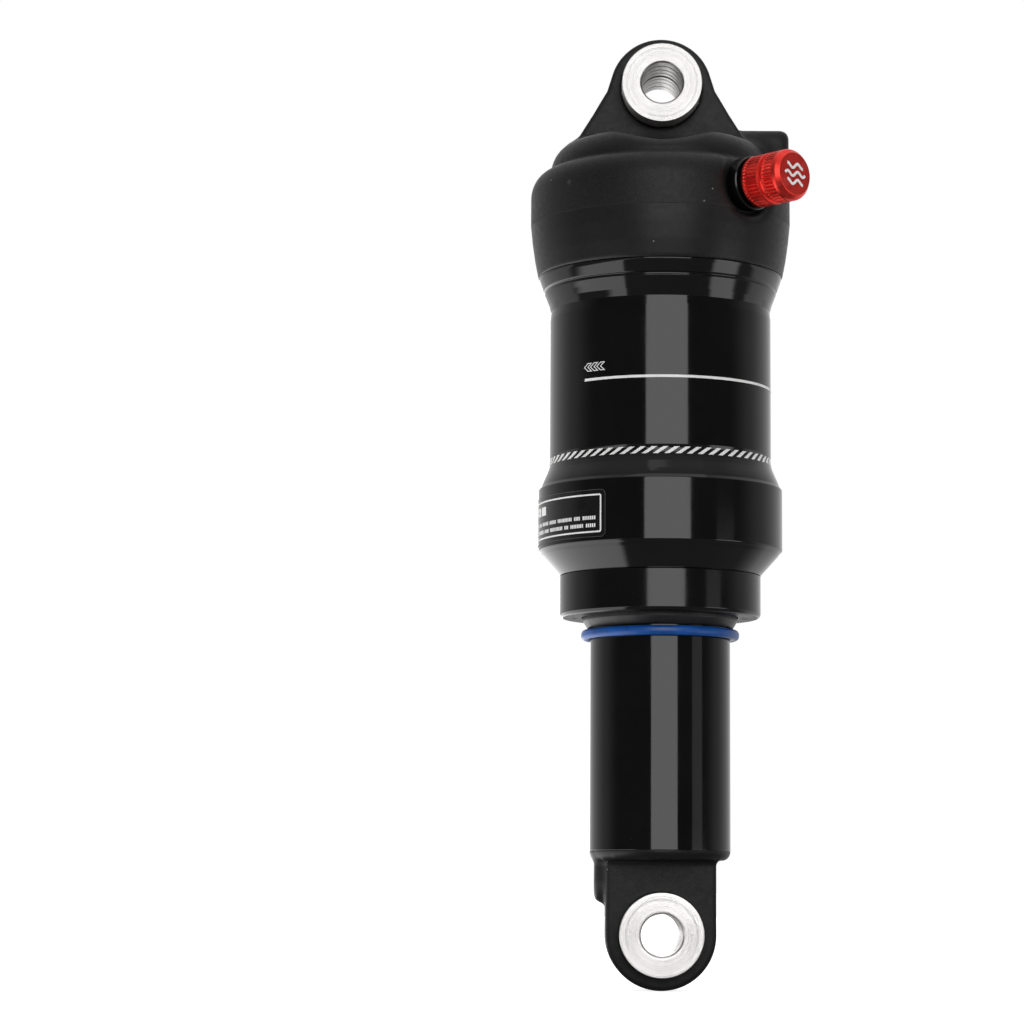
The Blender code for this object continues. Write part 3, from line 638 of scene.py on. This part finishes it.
def printed(name, patches, base=INK_BASE, top=INK_TOP):
    """Thin printed shapes on the can, each given by four corners (azimuth in degrees, z)."""
    widest, tallest = 2.0, 0.8
    points = []
    faces = []
    for corners in patches:
        a, b, c, d = np.array(corners, float)
        width, tall = (abs(b - a) + abs(c - d))[0] / 2.0, (abs(d - a) + abs(c - b))[1] / 2.0
        across, up = max(1, math.ceil(width / widest)), max(1, math.ceil(tall / tallest))
        u = np.linspace(0, 1, across + 1)[:, None, None]
        v = np.linspace(0, 1, up + 1)[None, :, None]
        spot = (1 - v) * ((1 - u) * a + u * b) + v * (u * c + (1 - u) * d)
        azimuth, z = np.radians(spot[..., 0]), spot[..., 1]
        start = len(points)
        for lift in (base, top):
            r = can_radius(z) + lift
            layer = np.stack([r * np.sin(azimuth), -r * np.cos(azimuth), z], axis=-1)
            points.extend(layer.reshape(-1, 3))
        rows = up + 1
        layer_size = (across + 1) * rows

        def at(i, j, layer):
            return start + layer * layer_size + i * rows + j

        for i, j in itertools.product(range(across), range(up)):
            for layer in (1, 0):
                faces.append([at(i + di, j + dj, layer)
                              for di, dj in ((0, 0), (1, 0), (1, 1), (0, 1))])
        for i, j in itertools.product(range(across), (0, up)):
            faces.append((at(i, j, 0), at(i + 1, j, 0), at(i + 1, j, 1), at(i, j, 1)))
        for i, j in itertools.product((0, across), range(up)):
            faces.append((at(i, j, 0), at(i, j + 1, 0), at(i, j + 1, 1), at(i, j, 1)))
    return make_piece(name, points, faces)


def degrees_at(length, z):
    """The azimuth, in degrees, that an arc of that length takes up on the can."""
    return math.degrees(length / float(can_radius(z)))


def stroke(points, width):
    """Four-cornered patches along a closed line of (arc length, z) points, with mitred corners."""
    sharpest = 0.35
    points = [np.array(p, float) for p in points]
    count = len(points)
    inner, outer = [], []
    for i, point in enumerate(points):
        runs = (point - points[i - 1], points[(i + 1) % count] - point)
        normals = [np.array((-run[1], run[0])) / np.linalg.norm(run) for run in runs]
        normal = sum(normals)
        normal = normal / np.linalg.norm(normal)
        reach = width / 2.0 / max(sharpest, normal.dot(normals[0]))
        inner.append(point - normal * reach)
        outer.append(point + normal * reach)
    return [(inner[i], inner[i + 1], outer[i + 1], outer[i]) for i in range(-count, 0)]


def on_can(patches, azimuth, z):
    """Patches in (arc length, z) turned into (azimuth, z) from a starting azimuth and height."""
    return [[(azimuth + degrees_at(s, z), z + h) for s, h in patch] for patch in patches]


def box_patch(left, low, width, tall):
    return [(left, low), (left + width, low), (left + width, low + tall), (left, low + tall)]


def trim_line():
    """A line round three quarters of the can, with a slanted left end."""
    slant = degrees_at(0.12, LINE_Z)
    low, high = LINE_Z - LINE_HALF, LINE_Z + LINE_HALF
    end = TRIM_START + 270.0
    return printed("trim_line", [[(TRIM_START, low), (end, low), (end, high),
                                  (TRIM_START + slant, high)]])


def chevrons():
    """Two groups of three outlined arrowheads over the line."""
    wide, thick, tall, pitch, line = 1.7, 0.85, 1.5, 1.5, 0.15
    shape = [(0.0, tall / 2), (wide - thick, tall), (wide, tall), (thick, tall / 2), (wide, 0.0),
             (wide - thick, 0.0)]
    patches = []
    for azimuth_start in (TRIM_START, TRIM_START + 180.0):
        for number in range(3):
            moved = [(s + pitch * number, h) for s, h in shape]
            patches += on_can(stroke(moved, line), azimuth_start, CHEVRON_Z)
    return printed("chevrons", patches)


def hatching():
    """A ring of slanted stripes on the can's flare."""
    count = 63
    pitch = 360.0 / count
    width = degrees_at(1.0, HATCH_TOP_Z)
    lean = degrees_at(2.0, HATCH_TOP_Z)
    patches = []
    for number in range(count):
        left = number * pitch
        patches.append([(left, HATCH_BOTTOM_Z), (left + width, HATCH_BOTTOM_Z),
                        (left + width + lean, HATCH_TOP_Z), (left + lean, HATCH_TOP_Z)])
    return printed("hatching", patches)


def rounded_box(width, height, radius, count):
    """The outline of a box with rounded corners, anticlockwise from its right side's top."""
    made = []
    for cx, cy, start in ((width - radius, height - radius, 0.0), (radius, height - radius, 90.0),
                          (radius, radius, 180.0), (width - radius, radius, 270.0)):
        made += arc((cx, cy), (radius, radius), start, start + 90.0, count)
    return made


FILM_HEIGHT = LABEL_HEIGHT + 2 * FILM_MARGIN
FILM_START = LABEL_RIGHT - degrees_at(LABEL_LENGTH + FILM_MARGIN, LABEL_LOW_Z)
FILM_OUTLINE = rounded_box(LABEL_LENGTH + 2 * FILM_MARGIN, FILM_HEIGHT, 0.9, 6)


def label_film():
    """The clear film of the label: a thin panel with rounded corners, wider than its frame."""
    upper = sorted([p for p in FILM_OUTLINE if p[1] > FILM_HEIGHT / 2])
    lower = sorted([p for p in FILM_OUTLINE if p[1] < FILM_HEIGHT / 2])
    patches = []
    for (x0, top0), (x1, top1), (_, low0), (_, low1) in zip(upper, upper[1:], lower, lower[1:]):
        if x1 - x0 > 1e-6:
            patches.append([(x0, low0), (x1, low1), (x1, top1), (x0, top0)])
    return printed("label_film", on_can(patches, FILM_START, LABEL_LOW_Z - FILM_MARGIN), top=0.05)


def label_edge():
    """The film's cut edge, a thin strip coloured lighter than the film as a painted highlight
    where it catches a little light.
    """
    patches = on_can(stroke(FILM_OUTLINE, 0.12), FILM_START, LABEL_LOW_Z - FILM_MARGIN)
    return printed("label_edge", patches, 0.01, 0.055)


def label_print():
    """The label's frame, with rows of upright ticks and three blocks in place of its writing."""
    start = LABEL_RIGHT - degrees_at(LABEL_LENGTH, LABEL_LOW_Z)
    frame_line, inset = 0.3, 0.2
    frame_box = rounded_box(LABEL_LENGTH - 2 * inset, LABEL_HEIGHT - 2 * inset, 0.3, 3)
    patches = [[(s + inset, h + inset) for s, h in patch]
               for patch in stroke(frame_box, frame_line)]
    tick_pitch, tick_share, tick_tall, word_gap = 0.45, 0.66, 0.7, 0.55
    words = ((1.1, (2.3, 3.4, 1.2, 4.6, 2.2, 3.8, 2.9, 5.1, 1.9)),
             (2.55, (3.1, 1.6, 4.4, 2.6, 3.3, 2.0, 4.9, 2.8, 1.3)))
    for row, lengths in words:
        right = LABEL_LENGTH - 1.35
        for length in lengths:
            ticks = round(length / tick_pitch)
            for tick in range(ticks):
                patches.append(box_patch(right - length * (tick + tick_share) / ticks, row,
                                         tick_share * length / ticks, tick_tall))
            right -= length + word_gap
    left = LABEL_LENGTH / 2 - 6.6
    for length in (3.4, 1.8, 2.6):
        patches.append(box_patch(left, 4.6, length, 1.65))
        left += length + 0.7
    return printed("label_print", on_can(patches, start, LABEL_LOW_Z), 0.02, 0.075)


def cap_mark():
    """Three wavy lines on the cap's end, for moving air."""
    origin, side, other, along = VALVE_AXIS
    points = []
    faces = []
    half, swing, wave, steps = 0.27, 0.42, 2.7, 28
    for row, length in ((-1.55, 4.2), (0.0, 5.4), (1.55, 4.2)):
        u = np.linspace(-length / 2, length / 2, steps + 1)
        middle = np.stack([u, row + swing * np.sin(u * 2.0 * math.pi / wave)], axis=1)
        direction = np.gradient(middle, axis=0)
        direction /= np.linalg.norm(direction, axis=1)[:, None]
        normal = np.stack([-direction[:, 1], direction[:, 0]], axis=1)
        start = len(points)
        for depth in (CAP_END - 0.02, CAP_END + 0.03):
            for line in (middle - half * normal, middle + half * normal):
                points.extend(origin + np.outer(line[:, 0], side) + np.outer(line[:, 1], other)
                              + along * depth)
        rows = steps + 1
        low_a, low_b, high_a, high_b = (start + rows * k for k in range(4))
        for i in range(steps):
            for a, b in ((low_a, low_b), (low_b, high_b), (high_b, high_a), (high_a, low_a)):
                faces.append((a + i, a + i + 1, b + i + 1, b + i))
        for i in (0, steps):
            faces.append((low_a + i, low_b + i, high_b + i, high_a + i))
    return make_piece("cap_mark", points, faces)


# ---- materials

class Value:
    """What a socket gives. Reckoning with it adds Math nodes to its tree."""

    def __init__(self, socket):
        self.socket = socket
        self.tree = socket.id_data

    def math(self, operation, other=0.0):
        return read(self.tree, "Math", {0: self, 1: other}, operation=operation)

    def __add__(self, other):
        return self.math("ADD", other)

    def __mul__(self, other):
        return self.math("MULTIPLY", other)

    def spread(self, low, high, start=0.0, end=1.0, smooth=False):
        """Moved from the range low to high onto start to end, and held there outside it."""
        return read(self.tree, "MapRange",
                    {"Value": self, "From Min": low, "From Max": high, "To Min": start,
                     "To Max": end},
                    interpolation_type="SMOOTHSTEP" if smooth else "LINEAR")


def put(socket, value):
    """Links a value to a socket, or sets the socket when the value is a plain one."""
    if isinstance(value, Value):
        socket.id_data.links.new(value.socket, socket)
    else:
        socket.default_value = value


def node(tree, kind, inputs, **settings):
    made = tree.nodes.new("ShaderNode" + kind)
    for key, value in settings.items():
        setattr(made, key, value)
    for key, value in inputs.items():
        put(made.inputs[key], value)
    return made


def read(tree, kind, inputs, output=0, **settings):
    """One output of a new node."""
    return Value(node(tree, kind, inputs, **settings).outputs[output])


def parts(tree, output):
    """The three numbers of a coordinate."""
    made = node(tree, "SeparateXYZ", {0: read(tree, "TexCoord", {}, output)})
    return [Value(socket) for socket in made.outputs]


def for_camera(tree, shader, others):
    """One shader for what the camera sees, and others for what light meets."""
    seen = read(tree, "LightPath", {}, "Is Camera Ray")
    return read(tree, "MixShader", {0: seen, 1: others, 2: shader})


def new_material(name, plain):
    """The place on a new material's piece, and a function that links its shader and returns it."""
    made = bpy.data.materials.new(name)
    made.use_nodes = True
    shader = made.node_tree.nodes["Principled BSDF"]

    def finish(colour, roughness, normal):
        sockets = {**plain, "Base Color": colour, "Roughness": roughness, "Normal": normal}
        for key, value in sockets.items():
            put(shader.inputs[key], value)
        return made

    return read(made.node_tree, "TexCoord", {}, "Object"), finish


def noise(place, scale, detail, roughness=0.5):
    """Noise whose grain is about 1 / scale millimetres."""
    return read(place.tree, "TexNoise", {"Vector": place, "Scale": scale / MM, "Detail": detail,
                                         "Roughness": roughness})


def line_noise(value, scale, detail=2.0):
    """Noise along one value given in millimetres."""
    return read(value.tree, "TexNoise", {"W": value, "Scale": scale, "Detail": detail},
                noise_dimensions="1D")


def specks(place, scale, size, patches, share):
    """Small dots that lie in patches, with share as the patch noise's range from none to all."""
    dots = read(place.tree, "TexVoronoi", {"Vector": place, "Scale": scale / MM}, "Distance")
    return dots.spread(*size, 1.0, 0.0) * noise(place, patches, 1.0).spread(*share)


def mix(factor, first, second):
    """A colour mix, with its colour sockets found by place, because several share a name."""
    return read(factor.tree, "Mix", {0: factor, 6: first, 7: second}, 2, data_type="RGBA")


def axial(place, axis):
    """The place along an axis and the distance from it, both in millimetres."""
    origin, _, _, along = axis
    local = read(place.tree, "VectorMath", {0: place, 1: tuple(origin * MM)},
                 operation="SUBTRACT")
    factors = {0: local, 1: tuple(along / MM)}
    cross = read(place.tree, "VectorMath", factors, operation="CROSS_PRODUCT")
    return (read(place.tree, "VectorMath", factors, "Value", operation="DOT_PRODUCT"),
            read(place.tree, "VectorMath", {0: cross}, "Value", operation="LENGTH"))


def bump(height, depth, below=None):
    """A bump whose height runs from 0 to 1 over depth millimetres."""
    inputs = {"Height": height, "Strength": 1.0, "Distance": depth * MM}
    if below is not None:
        inputs["Normal"] = below
    return read(height.tree, "Bump", inputs, "Normal")


def edges(tree):
    """About 1 on convex edges and 0 elsewhere. The mixes that use it paint edges lighter, partly
    as edge wear and partly as a painted highlight.
    """
    return read(tree, "NewGeometry", {}, "Pointiness").spread(0.52, 0.62)


def grey(value):
    return (value, value, value, 1.0)


def tint(colour, times, plus=0.0):
    """A colour made lighter or darker, with its alpha."""
    return tuple(min(1.0, c * times + plus) for c in colour) + (1.0,)


def cast_black(name, smooth_low, smooth_high, parting=None, gloss=0.27):
    """Bead-blasted black. It is finer where it was turned, between two heights."""
    place, finish = new_material(name, {"Specular IOR Level": gloss})
    height, _ = axial(place, MAIN_AXIS)
    fine = noise(place, 4.2, 3.0, 0.6)
    coarse = noise(place, 1.1, 2.0)
    cloud = noise(place, 0.07, 3.0)
    fade = 0.15
    turned = (height.spread(smooth_low - fade, smooth_low + fade)
              * height.spread(smooth_high - fade, smooth_high + fade, 1.0, 0.0))
    blasted = turned.spread(0.0, 1.0, 1.0, 0.0)
    colour = mix(cloud.spread(0.3, 0.7), (0.0075, 0.0075, 0.0078, 1),
                 (0.0115, 0.0114, 0.0115, 1))
    colour = mix(fine.spread(0.45, 0.8, 0.0, 0.5) * blasted, colour, grey(0.035))
    dust = specks(place, 0.42, (0.05, 0.075), 0.16, (0.62, 0.64))
    colour = mix(dust * 0.6, colour, grey(0.35))
    # Lighter convex edges: partly edge wear, partly a painted highlight along the rounded edges.
    colour = mix(edges(place.tree) * 0.35, colour, grey(0.09))
    rough = coarse.spread(0.3, 0.7, 0.42, 0.52) + turned * -0.08
    grain = fine * 0.7 + coarse * 0.5
    normal = bump(grain * turned.spread(0.0, 1.0, 1.0, 0.3), 0.035)
    normal = bump(line_noise(height, 5.0) * turned, 0.006, normal)
    if parting is not None:
        line = (height + -parting).math("ABSOLUTE").spread(0.0, 0.14, 1.0, 0.0, True)
        broken = noise(place, 0.12, 2.0).spread(0.4, 0.6, 0.3, 1.0)
        normal = bump(line * broken, -0.022, normal)
    return finish(colour, rough, normal)


def gloss_black(name, axis=MAIN_AXIS, roughness=0.075, lines=0.0006):
    """Polished black with a hint of unevenness, faint turned lines and a little dust."""
    place, finish = new_material(name, {"Specular IOR Level": 0.5})
    height, _ = axial(place, axis)
    smudge = noise(place, 0.09, 4.0, 0.6)
    fine = noise(place, 3.0, 2.0)
    dust = specks(place, 0.55, (0.03, 0.05), 0.3, (0.66, 0.7))
    colour = mix(smudge.spread(0.35, 0.7), grey(0.0022), grey(0.0042))
    colour = mix(dust * 0.35, colour, grey(0.12))
    rough = (smudge.spread(0.3, 0.75, roughness * 0.8, roughness * 1.5)
             + fine.spread(0.4, 0.8, 0.0, 0.02))
    normal = bump(noise(place, 0.16, 2.0, 0.45), 0.007)
    normal = bump(noise(place, 0.9, 1.0), 0.0008, normal)
    normal = bump(line_noise(height, 6.0), lines, normal)
    return finish(colour, rough, normal)


def turned_metal(name, colour, axis, roughness=(0.26, 0.4), rings=0.02, edge_wear_and_highlight=0.12):
    """Turned metal: fine rings round an axis, cloudy roughness, a lighter edge that is partly wear
    and partly a painted highlight.
    """
    place, finish = new_material(name, {"Metallic": 1.0})
    along, away = axial(place, axis)
    rings_per_mm = 3.4
    ring = line_noise(along + away, rings_per_mm, 4.0)
    fine_ring = line_noise(along + away, rings_per_mm * 4.0)
    fine = noise(place, 5.0, 2.0)
    shade = ring * 0.5 + noise(place, 0.35, 4.0, 0.6) * 0.5
    tone = mix(shade.spread(0.36, 0.62), tint(colour, 0.86), tint(colour, 1.05))
    # Lighter convex edges: partly wear, partly a painted highlight.
    tone = mix(edges(place.tree) * edge_wear_and_highlight, tone, tint(colour, 1.25, 0.06))
    rough = shade.spread(0.38, 0.62, *roughness) + fine.spread(0.5, 0.8, 0.0, 0.05)
    normal = bump(fine, rings * 0.35, bump(ring + fine_ring, rings))
    return finish(tone, rough, normal)


def soft_plastic(name, colour, roughness, grain=0.012, scale=2.6, mottle=0.2):
    """Rubber, moulded plastic or ink: mottled colour, fine grain, a little dust in the colour."""
    place, finish = new_material(name, {})
    cloud = noise(place, 0.3, 4.0, 0.6)
    fine = noise(place, scale, 3.0, 0.6)
    tone = mix(cloud.spread(0.35, 0.65), tint(colour, 1.0 - mottle), tint(colour, 1.15, 0.003))
    tone = mix(fine.spread(0.62, 0.8, 0.0, mottle), tone, tint(colour, 0.7, 0.06))
    rough = cloud.spread(0.35, 0.7, roughness * 0.85, roughness * 1.2)
    return finish(tone, rough, bump(fine, grain))


UPPER_EYE_AXIS = axis_frame((0.0, 0.0, 0.0), (0.0, 1.0, 0.0))
LOWER_EYE_AXIS = axis_frame((0.0, 0.0, LOWER_EYE_Z), (0.0, 1.0, 0.0))

head_black = cast_black("bead_blasted_black", -45.0, PARTING_Z, PARTING_Z)
lower_black = cast_black("bead_blasted_black_lower", -150.65, -140.0)
under_black = cast_black("bead_blasted_black_under", -110.0, -90.0, gloss=0.18)
can_gloss = gloss_black("polished_black")
collar_gloss = gloss_black("polished_black_collar", roughness=0.1, lines=0.0015)
tube_gloss = gloss_black("hard_black_tube", roughness=0.06, lines=0.0008)
upper_metal = turned_metal("turned_aluminium_upper", (0.81, 0.795, 0.785), UPPER_EYE_AXIS,
                           (0.38, 0.5))
lower_metal = turned_metal("turned_aluminium_lower", (0.9, 0.88, 0.87), LOWER_EYE_AXIS,
                           (0.28, 0.38))
# A darker copy of the reducers' aluminium for their bores: painted shade in the hole.
bore_metal_painted_shade = turned_metal("turned_aluminium_bore_painted_shade", (0.44, 0.43, 0.42), UPPER_EYE_AXIS,
                          (0.34, 0.46))
# The cap's lighter edges are partly wear and partly a painted highlight on its bevel.
red_metal = turned_metal("red_anodised_cap", (0.92, 0.058, 0.045), VALVE_AXIS, (0.33, 0.45),
                         rings=0.008, edge_wear_and_highlight=0.3)
valve_metal = gloss_black("black_anodised_valve", VALVE_AXIS, 0.18, 0.004)
blue_band = soft_plastic("blue_rubber_band", (0.002, 0.084, 0.38), 0.36)
wiper_rubber = soft_plastic("black_wiper_rubber", (0.018, 0.018, 0.019), 0.42)
white_ink = soft_plastic("white_ink", (0.97, 0.97, 0.96), 0.3, 0.004, scale=6.0, mottle=0.06)
film = soft_plastic("label_film", (0.006, 0.006, 0.0065), 0.16, 0.003)
# A lighter grey for the film's edge: a painted highlight.
film_edge_highlight = soft_plastic("label_film_edge_painted_highlight", (0.055, 0.055, 0.057), 0.4, 0.003)

# What each material of the CAD becomes.
INNER = {
    "plain_aluminium": turned_metal("plain_aluminium_inner", (0.72, 0.72, 0.73), MAIN_AXIS),
    "satin_aluminium": turned_metal("satin_aluminium_inner", (0.86, 0.85, 0.84), MAIN_AXIS),
    "steel": turned_metal("ground_steel", (0.52, 0.52, 0.54), MAIN_AXIS, (0.14, 0.26), 0.008),
    "brass": turned_metal("turned_brass", (0.72, 0.52, 0.22), VALVE_AXIS),
    "bronze": turned_metal("sintered_bronze", (0.50, 0.32, 0.16), MAIN_AXIS, (0.4, 0.55), 0.03),
    "black_rubber": soft_plastic("seal_rubber", (0.014, 0.014, 0.015), 0.5),
    "bumper_rubber": soft_plastic("bumper_rubber", (0.16, 0.035, 0.02), 0.6, 0.02),
    "white_plastic": soft_plastic("glide_plastic", (0.7, 0.69, 0.64), 0.4),
    "matte_black": head_black,
    "gloss_black": can_gloss,
    "red_anodised": red_metal,
    "blue_rubber": blue_band,
}


# ---- putting it together

def paint(piece, material, chosen):
    """Gives the faces that chosen picks a material of their own."""
    piece.data.materials.append(material)
    for face in piece.data.polygons:
        if chosen(face):
            face.material_index = 1


def looks_down(face):
    return face.normal.z < -0.9


# Faces inside the upper reducers' bores, which take the darker aluminium as painted shade.
def in_upper_bore_painted_shade(face):
    return math.hypot(face.center.x, face.center.z) < (BORE_R + 0.25) * MM


def fit(piece, material, body, slot=None, *replaced):
    """Gives a piece its material and its body, and hides the CAD nodes it stands for. The slot
    argument is not used.
    """
    piece.data.materials.clear()
    piece.data.materials.append(material)
    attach(piece, body)
    if replaced:
        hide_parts(*replaced)
    return piece


for cad_node in frame["nodes"].values():
    for material_slot in cad_node.material_slots:
        base_name = material_slot.material.name.split(".")[0]
        material_slot.material = INNER.get(base_name, INNER["plain_aluminium"])

fit(head_casting(), head_black, "head_and_can", "matte_black", "eyelet_head")
fit(can_shell(), can_gloss, "head_and_can", "gloss_black", "air_can")
collar_piece = fit(collar(), collar_gloss, "head_and_can", "gloss_black", "seal_head")
paint(collar_piece, under_black, looks_down)
fit(wiper_lip(), wiper_rubber, "head_and_can", "black_rubber", "dust_wiper")
fit(tube_shell(), tube_gloss, "damper_body", "gloss_black", "damper_tube")
fit(lower_casting(), lower_black, "damper_body", "matte_black", "lower_eyelet")
fit(fill_screw(), INNER["steel"], "damper_body", "steel", "fill_port_screw")
fit(travel_band(), blue_band, "travel_ring", "blue_rubber", "travel_ring")
fit(valve_body(), valve_metal, "head_and_can", "gloss_black", "air_valve_body")
fit(valve_cap(), red_metal, "valve_cap", "red_anodised", "valve_cap")
fit(cap_mark(), white_ink, "valve_cap")

UPPER_FLANGE_R = node_box("upper_spacer_front")[1][0]
LOWER_FLANGE_R = node_box("lower_spacer_front")[1][0]
for end, side in (("front", -1.0), ("rear", 1.0)):
    reducer = fit(spacer("upper_reducer_" + end, 0.0, side, UPPER_FLANGE_R), upper_metal,
                  "upper_hardware", "satin_aluminium", "upper_spacer_" + end)
    # The bore faces take the darker aluminium, a painted shade.
    paint(reducer, bore_metal_painted_shade, in_upper_bore_painted_shade)
    fit(spacer("lower_reducer_" + end, LOWER_EYE_Z, side, LOWER_FLANGE_R), lower_metal,
        "lower_hardware", "satin_aluminium", "lower_spacer_" + end)

for made_trim, ink in ((trim_line(), white_ink), (chevrons(), white_ink), (hatching(), white_ink),
                       (label_film(), film), (label_edge(), film_edge_highlight),
                       (label_print(), white_ink)):
    fit(made_trim, ink, "head_and_can")


# ---- floor, light and camera

FLOOR_Z = node_box("lower_eyelet")[0][2] - 0.05
FLOOR_SIZE = 6000.0


def studio_floor():
    """A pale floor. The camera sees it white, and what it sends up is dimmer in front.

    Two bright patches, left and right of the shock, make the strips that the tube mirrors.
    """
    corners = [(x * FLOOR_SIZE, y * FLOOR_SIZE, FLOOR_Z)
               for x, y in ((-1, -1), (1, -1), (1, 1), (-1, 1))]
    floor = make_piece("studio_floor", corners, [(0, 1, 2, 3)])
    made = bpy.data.materials.new("studio_floor")
    made.use_nodes = True
    tree = made.node_tree
    tree.nodes.remove(tree.nodes["Principled BSDF"])
    x, y, _ = parts(tree, "Object")
    azimuth = x.math("ARCTAN2", y * -1.0)
    away = (x * x + y * y).math("SQRT")
    left = x + y.spread(-0.52, -0.02, 0.375, 0.036)
    left = left.spread(-0.004, 0.004, 1.0, 0.0) * x.spread(-0.46, -0.40)
    right = azimuth.spread(0.85, 0.92) * azimuth.spread(1.32, 1.40, 1.0, 0.0)
    right = right * away.spread(0.17, 0.23)
    behind = y.spread(0.03, 0.12)
    bright = (left.math("MAXIMUM", right) * 1.7).math("MAXIMUM", behind * 0.6)
    bounce = read(tree, "Emission", {"Color": grey(1.0), "Strength": bright + 0.16})
    own = read(tree, "Emission", {"Color": grey(1.0), "Strength": 0.85})
    lit = read(tree, "BsdfDiffuse", {"Color": grey(0.8)})
    both = for_camera(tree, read(tree, "AddShader", {0: own, 1: lit}), bounce)
    below = read(tree, "NewGeometry", {}, "Backfacing")
    clear = read(tree, "BsdfTransparent", {})
    whole = read(tree, "MixShader", {0: below, 1: both, 2: clear})
    put(tree.nodes["Material Output"].inputs["Surface"], whole)
    floor.data.materials.append(made)


def studio_world():
    """White to the camera, and a soft room with a bright back for everything else."""
    world = bpy.data.worlds.new("studio")
    bpy.context.scene.world = world
    world.use_nodes = True
    tree = world.node_tree
    _, y, z = parts(tree, "Generated")
    total = (y.spread(-0.3, 0.3, 0.08, 0.34, True) + y.spread(0.3, 1.0, 0.0, 0.5)
             + z.spread(0.35, 0.85, 0.0, 0.34, True))
    room = read(tree, "Background", {"Color": grey(1.0), "Strength": total})
    white = read(tree, "Background", {"Color": grey(1.0), "Strength": 1.0})
    put(tree.nodes["World Output"].inputs["Surface"], for_camera(tree, white, room))


def place_round(azimuth, distance, height):
    """A place at an azimuth in degrees and a distance from the shock's axis."""
    turn = math.radians(azimuth)
    return distance * math.sin(turn), -distance * math.cos(turn), height


def soft_box(name, azimuth, distance, height, width, tall, radiance, aim_z=-0.07):
    """A rectangular light facing the shock, unseen by the camera.

    Radiance is what it shows in a mirror, and aim_z the height on the shock's axis that it faces.
    """
    light = bpy.data.lights.new(name, "AREA")
    light.shape = "RECTANGLE"
    light.size, light.size_y = width, tall
    light.energy = radiance * math.pi * width * tall
    lamp = add_object(name, light)
    lamp.location = place_round(azimuth, distance, height)
    facing = Vector((0.0, 0.0, aim_z)) - lamp.location
    lamp.rotation_mode = "QUATERNION"
    lamp.rotation_quaternion = facing.to_track_quat("-Z", "Y")
    lamp.visible_camera = False


studio_floor()
studio_world()
soft_box("front_box", 5.0, 1.0, 0.16, 0.78, 0.84, 2.4, 0.16)
soft_box("right_panel", 61.0, 1.1, -0.07, 0.36, 0.2, 0.42, -0.07)
soft_box("back_box", 182.0, 1.3, 0.2, 0.3, 1.0, 2.0, 0.2)
soft_box("top_box", 20.0, 0.25, 1.0, 0.9, 0.9, 0.5)

# The camera's place in metres and its turns in degrees, as worked out from the photo.
CAMERA_DISTANCE = 0.620
CAMERA_SIDE = -2.0
CAMERA_Z = -0.1551
CAMERA_PITCH = 6.616
CAMERA_ROLL = -0.32
CAMERA_YAW = 0.638
FOCAL_LENGTH = 112.15

camera_data = bpy.data.cameras.new("camera")
camera_data.lens = FOCAL_LENGTH
camera_data.sensor_width = 36.0
camera = add_object("camera", camera_data)
camera.location = place_round(CAMERA_SIDE, CAMERA_DISTANCE, CAMERA_Z)
camera.rotation_euler = [math.radians(turn)
                         for turn in (90.0 + CAMERA_PITCH, CAMERA_ROLL, CAMERA_YAW)]
camera_data.clip_start, camera_data.clip_end = 0.01, 50.0
bpy.context.scene.camera = camera
bpy.context.scene.view_settings.view_transform = "Standard"
